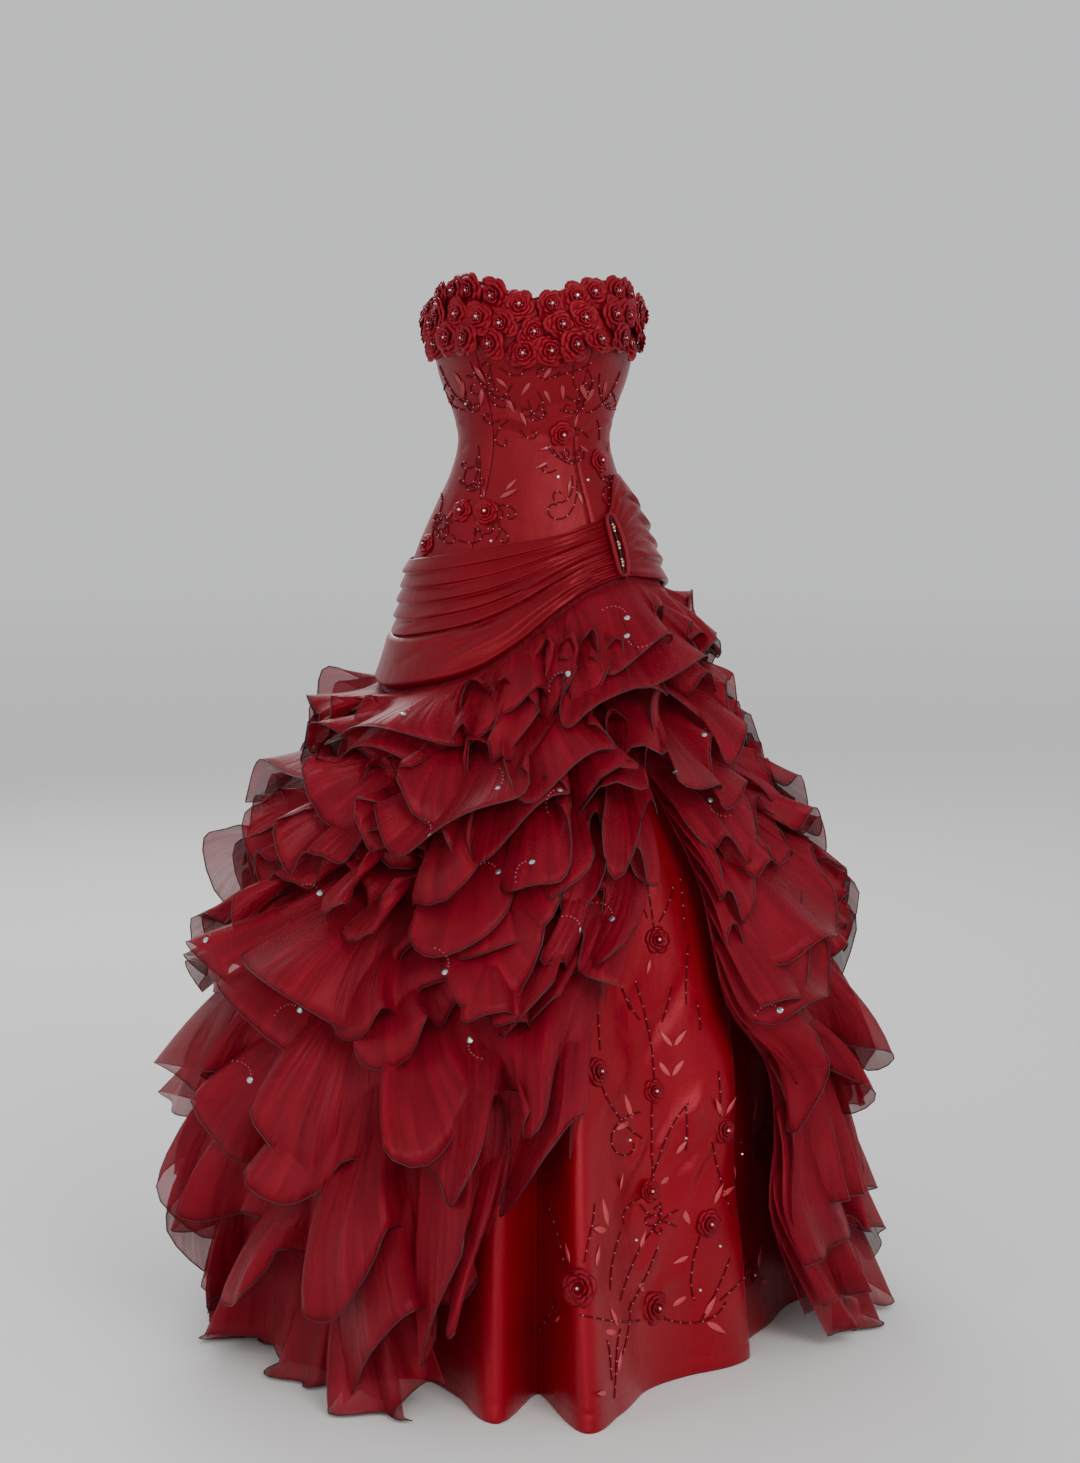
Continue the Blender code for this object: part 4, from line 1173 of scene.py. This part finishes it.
# Tendrils of beads: where each starts in the photograph's frame, its heading in degrees (0 to
# the right, 90 up), its length, how far it turns steadily and how far it curls up at its end
Tendril = namedtuple("Tendril", "x y heading length turn curl")
Leaf = namedtuple("Leaf", "x y heading length")
Rose = namedtuple("Rose", "x y size")
BODICE_TENDRILS = rows_of(
    Tendril,
    (478, 446, -80, 58, -30, 40), (470, 500, 200, 30, 40, 260), (470, 486, -20, 26, 60, 230),
    (474, 466, -150, 20, -50, -220), (452, 524, 120, 34, 60, 280), (446, 532, 160, 30, -50, -260),
    (474, 528, -40, 36, 60, 300), (496, 506, 10, 40, -60, -290), (492, 524, 20, 30, 50, 280),
    (432, 536, 80, 30, -40, -240), (500, 528, -30, 28, -60, -260), (440, 512, 70, 36, 50, 60),
    (548, 446, -60, 40, 40, 290), (560, 452, -50, 46, 70, 300), (572, 476, -80, 56, -70, -290),
    (556, 470, -150, 24, -50, -260), (599, 440, 85, 20, 10, 20), (597, 470, -70, 34, 50, 280),
    (604, 476, -20, 24, -60, -260), (588, 438, 120, 26, 40, 240), (470, 362, -70, 60, 30, 60),
    (480, 372, -20, 40, -60, -280), (466, 392, -100, 40, 60, 290), (488, 396, -60, 40, 60, 280),
    (500, 368, -40, 44, 50, 280), (512, 384, -110, 40, -60, -270), (560, 372, -140, 40, -50, -270),
    (574, 366, -100, 50, 40, 280), (588, 370, -60, 40, -50, -290), (600, 374, -100, 44, 40, 60),
    (566, 396, -40, 40, 70, 280), (584, 402, -120, 36, -50, -260), (440, 366, -70, 56, 20, 40),
    (446, 384, -110, 30, 40, 260), (620, 372, -110, 56, -20, -40), (612, 392, -60, 30, -50, -260),
    (528, 400, -80, 40, 40, 280), (540, 404, -110, 36, -60, -260), (520, 430, -60, 30, 60, 240),
    (500, 420, -150, 30, -60, -260), (577, 481, -88, 74, -40, -250), (553, 449, -55, 44, 20, 250),
    (606, 486, -120, 34, 60, 280), (476, 458, -80, 46, -30, -200), (466, 470, -110, 40, 60, 280),
    (444, 516, -60, 40, -50, -280), (458, 540, -20, 44, 40, 290), (496, 540, 60, 36, 50, 280),
    (436, 528, -70, 36, 30, 240), (466, 376, -10, 44, 30, 280), (492, 372, -100, 46, -30, -240),
    (544, 380, 20, 50, -20, 40), (538, 392, -60, 50, -40, -280), (560, 410, -20, 44, 50, 280),
    (508, 420, -140, 44, 30, 240), (448, 400, -50, 40, 40, 280),
)
BODICE_LEAVES = rows_of(
    Leaf,
    (474, 366, -60, 26), (482, 388, -95, 24), (496, 378, -40, 20), (462, 380, -100, 26),
    (454, 372, -60, 24), (506, 398, -60, 24), (552, 366, -120, 24), (562, 384, -80, 22),
    (580, 384, -60, 26), (594, 388, -110, 24), (606, 380, -80, 22), (544, 390, -60, 20),
    (530, 382, -120, 22), (446, 392, -80, 22), (616, 400, -100, 22), (500, 498, 30, 26),
    (506, 490, 50, 20), (484, 498, 110, 18), (446, 520, 60, 18), (476, 520, -50, 16),
    (566, 440, 60, 20), (574, 428, 80, 22), (552, 446, 200, 18), (548, 462, 210, 20),
    (578, 492, -70, 18), (570, 480, -100, 18), (588, 452, 150, 16), (608, 452, 60, 16),
    (432, 528, 100, 16), (520, 412, -60, 20),
)
BODICE_ROSES = rows_of(
    Rose,
    (462, 511, 15), (486, 512, 17), (427, 545, 15), (562, 434, 17), (599, 461, 15),
)
BODICE_STONES = ((558, 477), (588, 480), (491, 541), (546, 448), (474, 345), (466, 404))
PANEL_TENDRILS = rows_of(
    Tendril,
    (654, 932, 95, 60, 10, 0), (659, 922, 60, 40, 10, 20), (647, 918, 110, 30, 0, -20),
    (684, 930, 92, 56, 6, 0), (686, 1004, 92, 60, -8, 0), (600, 1050, 95, 64, -6, 0),
    (648, 1030, 100, 50, 10, 0), (640, 1020, 130, 34, -20, 0), (662, 1022, 70, 36, 10, 0),
    (630, 1010, 110, 26, 0, 0), (654, 1080, 92, 60, 10, 0), (700, 1030, 92, 30, 10, 0),
    (601, 1084, -70, 70, 30, 10), (640, 1112, 190, 84, 110, 170), (652, 1104, -92, 84, 6, 0),
    (650, 1186, 75, 92, -10, -20), (686, 1150, 85, 44, 10, 0), (720, 1116, 88, 44, 8, 0),
    (752, 1148, 70, 54, -30, 0), (735, 1144, 20, 60, -80, -290), (712, 1142, -80, 74, 10, 0),
    (700, 1236, -110, 66, 20, 20), (640, 1198, 200, 34, 60, 30), (660, 1202, -80, 46, -50, -280),
    (640, 1204, -60, 40, 60, 280), (676, 1226, 150, 40, 60, 290), (620, 1300, 75, 110, -20, -30),
    (610, 1290, 90, 60, -20, 0), (628, 1310, 60, 70, 10, 0), (614, 1398, 85, 70, 10, -20),
    (620, 1360, 70, 60, 20, 0), (612, 1380, 100, 40, -20, 30), (664, 1318, -20, 70, 50, 40),
    (700, 1322, 60, 70, 10, 0), (720, 1300, 40, 60, 10, 20), (742, 1268, 80, 60, -10, 0),
    (566, 1270, 100, 70, 10, 0), (584, 1262, 80, 60, -10, 20), (556, 1300, 250, 40, -20, 0),
    (640, 1320, 190, 60, -40, 20),
)
PANEL_LEAVES = rows_of(
    Leaf,
    (590, 1070, 170, 20), (632, 1118, 110, 26), (628, 1122, 190, 24), (672, 1046, 130, 20),
    (674, 1046, 50, 20), (670, 1076, 130, 22), (672, 1076, 50, 22), (722, 1116, 120, 22),
    (726, 1114, 50, 20), (754, 1120, 60, 22), (608, 1226, 100, 28), (606, 1230, 165, 28),
    (664, 1180, -30, 22), (660, 1184, 20, 18), (676, 1154, 50, 18), (690, 1224, 120, 26),
    (714, 1204, 60, 22), (722, 1196, 20, 20), (688, 1256, 200, 18), (734, 1166, -60, 16),
    (616, 1332, 165, 26), (618, 1326, 120, 24), (606, 1392, 170, 20), (618, 1372, 60, 22),
    (706, 1322, -30, 26), (704, 1318, 60, 24), (672, 1306, 20, 22), (758, 1268, 60, 24),
    (760, 1280, -20, 20), (570, 1262, 130, 18), (596, 1266, 60, 20), (644, 1292, 130, 18),
    (640, 1250, 60, 20), (650, 960, 250, 14), (620, 1190, 70, 16), (560, 1316, 220, 16),
)
PANEL_ROSES = rows_of(
    Rose,
    (657, 940, 17), (597, 1072, 18), (654, 1091, 15), (724, 1130, 17), (650, 1191, 14),
    (708, 1223, 18), (580, 1288, 23), (654, 1307, 21), (749, 1275, 17),
)
PANEL_STONES = ((742, 1154), (686, 1138), (636, 1240), (700, 1290), (630, 1140), (720, 1246))
Design = namedtuple("Design", "tendrils leaves roses stones")
BODICE_DESIGN = Design(BODICE_TENDRILS, BODICE_LEAVES, BODICE_ROSES, BODICE_STONES)
PANEL_DESIGN = Design(PANEL_TENDRILS, PANEL_LEAVES, PANEL_ROSES, PANEL_STONES)
# Sequins on the ruffles: their places in the photograph's frame and their trails' headings
SEQUINS = (
    (404, 714, 20), (568, 674, 150), (704, 735, 60), (675, 772, 200), (498, 788, 30),
    (560, 790, 170), (498, 872, 100), (532, 862, 160), (430, 835, 60), (320, 893, 100),
    (206, 940, 30), (612, 919, 70), (580, 930, 80), (445, 972, 40), (627, 618, 90),
    (627, 636, 270), (300, 1010, 120), (710, 800, 250), (250, 1080, 60), (780, 1010, 120),
    (470, 1040, 240),
)
METRES_PER_PIXEL = 0.0014
# Tendrils: places tried for each pixel, and how near and how far apart two beads may be
PLACES_PER_PIXEL, LEAST_PLACES, FEWEST_BEADS = 1.4, 8, 4
BEAD_STEP, NEAREST_STEP, FARTHEST_STEP, CLEAR_EVERY = 0.0030, 0.8, 6, 6
BEAD_LIFT, LEAF_LIFT, STONE_LIFT = 0.0009, 0.0007, 0.0004
CORD_RADIUS, CORD_LIFT = 0.00045, 0.0003
SMALL_ROSE, SMALL_ROSE_EYE = 0.68, 0.36


def tendril_points(carrier, tendril):
    """Places about a bead apart along a tendril, on what carries it."""
    count = max(int(tendril.length * PLACES_PER_PIXEL), LEAST_PLACES)
    share = np.linspace(0, 1, count)
    heading = np.radians(tendril.heading + tendril.turn * share + tendril.curl * share**3)
    step = tendril.length / count
    xs = tendril.x + np.cumsum(np.cos(heading)) * step
    ys = tendril.y - np.cumsum(np.sin(heading)) * step
    points = []
    for at in (carrier.seen_at(x, y) for x, y in zip(xs, ys)):
        apart = (at[0] - points[-1][0]).length if at and points else BEAD_STEP
        if at is None or apart < BEAD_STEP * NEAREST_STEP:
            continue
        if apart > BEAD_STEP * FARTHEST_STEP:
            break
        points.append(at)
    return points


def embroider(name, carrier, design, shapes, leaf_size):
    """Beaded tendrils over a couched cord, satin-stitched leaves, small roses and stones."""
    rose, stone, bead, clear, leaf = shapes
    parts, beads, clear_beads = [], [], []
    for tendril in design.tendrils:
        points = tendril_points(carrier, tendril)
        if len(points) < FEWEST_BEADS:
            continue
        row = [(at + normal * BEAD_LIFT, normal, 0, 1) for at, normal in points]
        clear_beads += row[CLEAR_EVERY - 1 :: CLEAR_EVERY]
        beads += [each for n, each in enumerate(row, 1) if n % CLEAR_EVERY]
        line = [at + normal * CORD_LIFT for at, normal in points]
        parts.append(cord_along(line, CORD_RADIUS, SEED_BEAD, 0))
    leaf_places, rose_places, stone_places = [], [], []
    for each in design.leaves:
        seen = carrier.seen_at(each.x, each.y)
        if seen:
            at, normal = seen
            size = each.length * METRES_PER_PIXEL * leaf_size
            turn = math.radians(each.heading - 90)
            leaf_places.append((at + normal * LEAF_LIFT, normal, turn, size))
    for n, each in enumerate(design.roses):
        at, normal = carrier.seen_at(each.x, each.y)
        size = each.size * METRES_PER_PIXEL
        rose_places.append((at, normal, 1.7 * n, size * SMALL_ROSE))
        stone_places.append((at + normal * size * SMALL_ROSE_EYE, normal, n, 0.9))
    for x, y in design.stones:
        at, normal = carrier.seen_at(x, y)
        stone_places.append((at + normal * STONE_LIFT, normal, x, 0.8))
    sets = ((bead, beads), (clear, clear_beads), (leaf, leaf_places), (rose, rose_places),
            (stone, stone_places))
    parts += [placed(shape, places) for shape, places in sets]
    return sewn(name, "rose_cloth", *parts)


ROSE_STEP, ROSE_ROW_DROP, ROSE_FIRST_DROP, ROSE_OUT = 14.5, 0.0320, 0.012, 0.0022
# How much the roses differ: in degrees round the neck, in height and in size
ROSE_SHIFT, ROSE_FALL, ROSE_SIZE, ROSE_GROWTH = 2.2, 0.003, 0.0205, 0.0030
EYE_BEADS, EYE_RADIUS, ROSE_LEAVES, ROSE_LEAF_SIZE = 5, 0.0046, 2, 0.029
RoseRow = namedtuple("RoseRow", "shift last_angle")
ROSE_ROWS = (RoseRow(0.5, 100), RoseRow(0.0, 100), RoseRow(0.5, 70))
ROSE_GROUPS = rows_of(
    Panel,
    ("roses_side_right", -101, -54),
    ("roses_front_right", -54, 0),
    ("roses_front_left", 0, 54),
    ("roses_side_left", 54, 101),
)


def build_roses(rose, stone, bead, leaf):
    """Cloth roses round the neck: each has a stone, beads round it and scraps of satin."""
    for group in ROSE_GROUPS:
        roses, stones, leaves, beads = [], [], [], []
        for n, row in enumerate(ROSE_ROWS):
            most = math.ceil(row.last_angle / ROSE_STEP)
            for place in range(-most, most + 1):
                angle = (place + row.shift) * ROSE_STEP
                if not (group.start <= angle < group.end and abs(angle) < row.last_angle):
                    continue
                shift, fall, grow, turn = rng.uniform(-1, 1, 4)
                angle += ROSE_SHIFT * shift
                drop = ROSE_FIRST_DROP + n * ROSE_ROW_DROP + ROSE_FALL * fall + 0.002
                z = float(neck_height(angle)) - drop
                side = Vector((math.cos(math.radians(angle)), math.sin(math.radians(angle)), 0))
                upward = Vector((0, 0, 0.08 + 0.28 * fall))
                normal = (Vector(outward(angle)) + side * 0.3 * turn + upward).normalized()
                size = ROSE_SIZE + ROSE_GROWTH * grow
                at = Vector(form(angle, z, ROSE_OUT))
                roses.append((at, normal, 3 * turn, size))
                stones.append((at + normal * size * 0.44, normal, turn, 1.1))
                side, up = frame_on(normal)
                for m in range(EYE_BEADS):
                    around = 1.3 * m + turn
                    off = (side * math.cos(around) + up * math.sin(around)) * EYE_RADIUS
                    beads.append((at + off + normal * size * 0.45, normal, 0, 0.9))
                for m in range(ROSE_LEAVES):
                    away = math.pi + 1.5 * (m - 0.5) + 0.4 * turn if n == 0 else 3 * m + 3 * turn
                    leaves.append((at, normal, away, ROSE_LEAF_SIZE))
        sets = ((rose, roses), (stone, stones), (bead, beads), (leaf, leaves))
        parts = [placed(shape, places) for shape, places in sets]
        piece = sewn(group.name + "_sewn", "rose_cloth", *parts)
        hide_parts(group.name)


# A sequin's trail: which steps of it have a bead, and how it turns in degrees at each
TRAIL, TRAIL_STEP, TRAIL_TURN, TRAIL_REACH, SEQUIN_LIFT = range(2, 9), 3.2, 9, 0.05, 0.0006


def build_sequins(ruffles, stone, bead):
    """Iridescent sequins on the ruffles, each with a short trail of clear beads."""
    carrier = Carrier(ruffles)
    sequins, beads = [], []
    for x, y, heading in SEQUINS:
        at = carrier.seen_at(x, y)
        if at is None:
            continue
        sequins.append((at[0] + at[1] * SEQUIN_LIFT, at[1], 0, 1))
        for n in TRAIL:
            away, turn = TRAIL_STEP * n, math.radians(heading + TRAIL_TURN * n)
            trail = carrier.seen_at(x + away * math.cos(turn), y - away * math.sin(turn))
            if trail and (trail[0] - at[0]).length < TRAIL_REACH:
                beads.append((trail[0] + trail[1] * SEQUIN_LIFT, trail[1], 0, 0.9))
    sewn("sequins", "jewel", placed(stone, sequins), placed(bead, beads))


def build_trimming():
    rose, scrap = model_rose(), model_fabric_leaf()
    leaf, dark_leaf = model_leaf(STITCHED), model_leaf(DARK_STITCHED)
    stone = model_stone("stone", 0.0026, 0.0020, CRYSTAL)
    sequin = model_stone("sequin", 0.0042, 0.0008, SEQUIN)
    bead = model_bead("bead", 0.00145, SEED_BEAD)
    clear = model_bead("clear_bead", 0.00115, CLEAR_BEAD)
    named = {o.name: o for o in bpy.context.scene.objects}
    build_roses(rose, stone, clear, scrap)
    shapes = (rose, stone, bead, clear)
    for name, panels, design, leaves, leaf_size in (
        ("bodice_embroidery", BODICE_PANELS, BODICE_DESIGN, dark_leaf, 0.78),
        ("panel_embroidery", UNDERSKIRT_PANELS, PANEL_DESIGN, leaf, 1),
    ):
        carrier = Carrier([named[panel.name + "_cloth"] for panel in panels])
        embroider(name, carrier, design, (*shapes, leaves), leaf_size)
    ruffles = [named[n] for n in named if n.startswith("ruffle_") and n.endswith("_cloth")]
    build_sequins(ruffles, sequin, clear)
    for shape in (rose, leaf, dark_leaf, scrap, stone, sequin, bead, clear):
        bpy.data.objects.remove(shape)


def build_stage():
    floor = Finish("pale_floor", (0.74, 0.73, 0.72), 0.6)
    grained = floor.noise(floor.place("Object", (1, 1, 1)), 30, 2.0)
    away = floor.node("ShaderNodeVectorMath", [floor.place("Object", (1, 1, 1))], out=1,
                      operation="LENGTH")
    # The floor's colour turns paler with distance: painted light that makes up for the lamps'
    # fall-off, so that the far floor meets the backdrop.
    far_painted_light = floor.node("ShaderNodeMapRange", {"Value": away, "From Min": 2.5, "From Max": 16.0})
    floor.set(
        colour=floor.mix(far_painted_light, (0.74, 0.73, 0.72), (0.985, 0.985, 0.985)),
        roughness=grained * 0.1 + 0.55,
        normal=floor.bump(grained, 0.0005, 0.6),
    )
    stage = primitive(bpy.ops.mesh.primitive_plane_add, floor.material, size=80)
    stage.name = "studio_floor"
    work_on_all(bpy.ops.transform.translate, value=(0, 0, cad_box[0][2] - 0.0005))
    world = bpy.data.worlds.new("studio")
    bpy.context.scene.world = world
    world.use_nodes = True
    background = world.node_tree.nodes["Background"]
    background.inputs["Color"].default_value = (0.92, 0.93, 0.95, 1)
    background.inputs["Strength"].default_value = 0.80
    Light = namedtuple("Light", "name place size power colour")
    lights = (
        Light("key", (1.9, -3.9, 1.9), 2.2, 130, (1.0, 0.98, 0.96)),
        Light("fill", (-3.4, -2.6, 0.7), 2.6, 30, (0.96, 0.98, 1.0)),
        Light("front", (-0.9, -4.3, 0.3), 1.6, 34, (1.0, 0.99, 0.98)),
        Light("back", (-1.2, 3.6, 2.2), 2.2, 100, (1.0, 1.0, 1.0)),
    )
    for light in lights:
        bpy.ops.object.light_add(type="AREA", location=light.place)
        lamp = bpy.context.object
        lamp.name = light.name + "_light"
        lamp.data.size = light.size
        lamp.data.energy = light.power
        lamp.data.color = light.colour
        aim = Vector((0, 0, -0.45)) - Vector(light.place)
        lamp.rotation_euler = aim.to_track_quat("-Z", "Y").to_euler()
    bpy.ops.object.camera_add(location=CAMERA_PLACE, rotation=(math.pi / 2 - CAMERA_DOWN, 0, 0))
    camera = bpy.context.object
    camera.data.lens = CAMERA_LENS
    bpy.context.scene.camera = camera


build_stage()
build_bodice()
build_sash()
build_ring()
build_underskirt()
build_overskirt()
build_ruffles()
build_trimming()
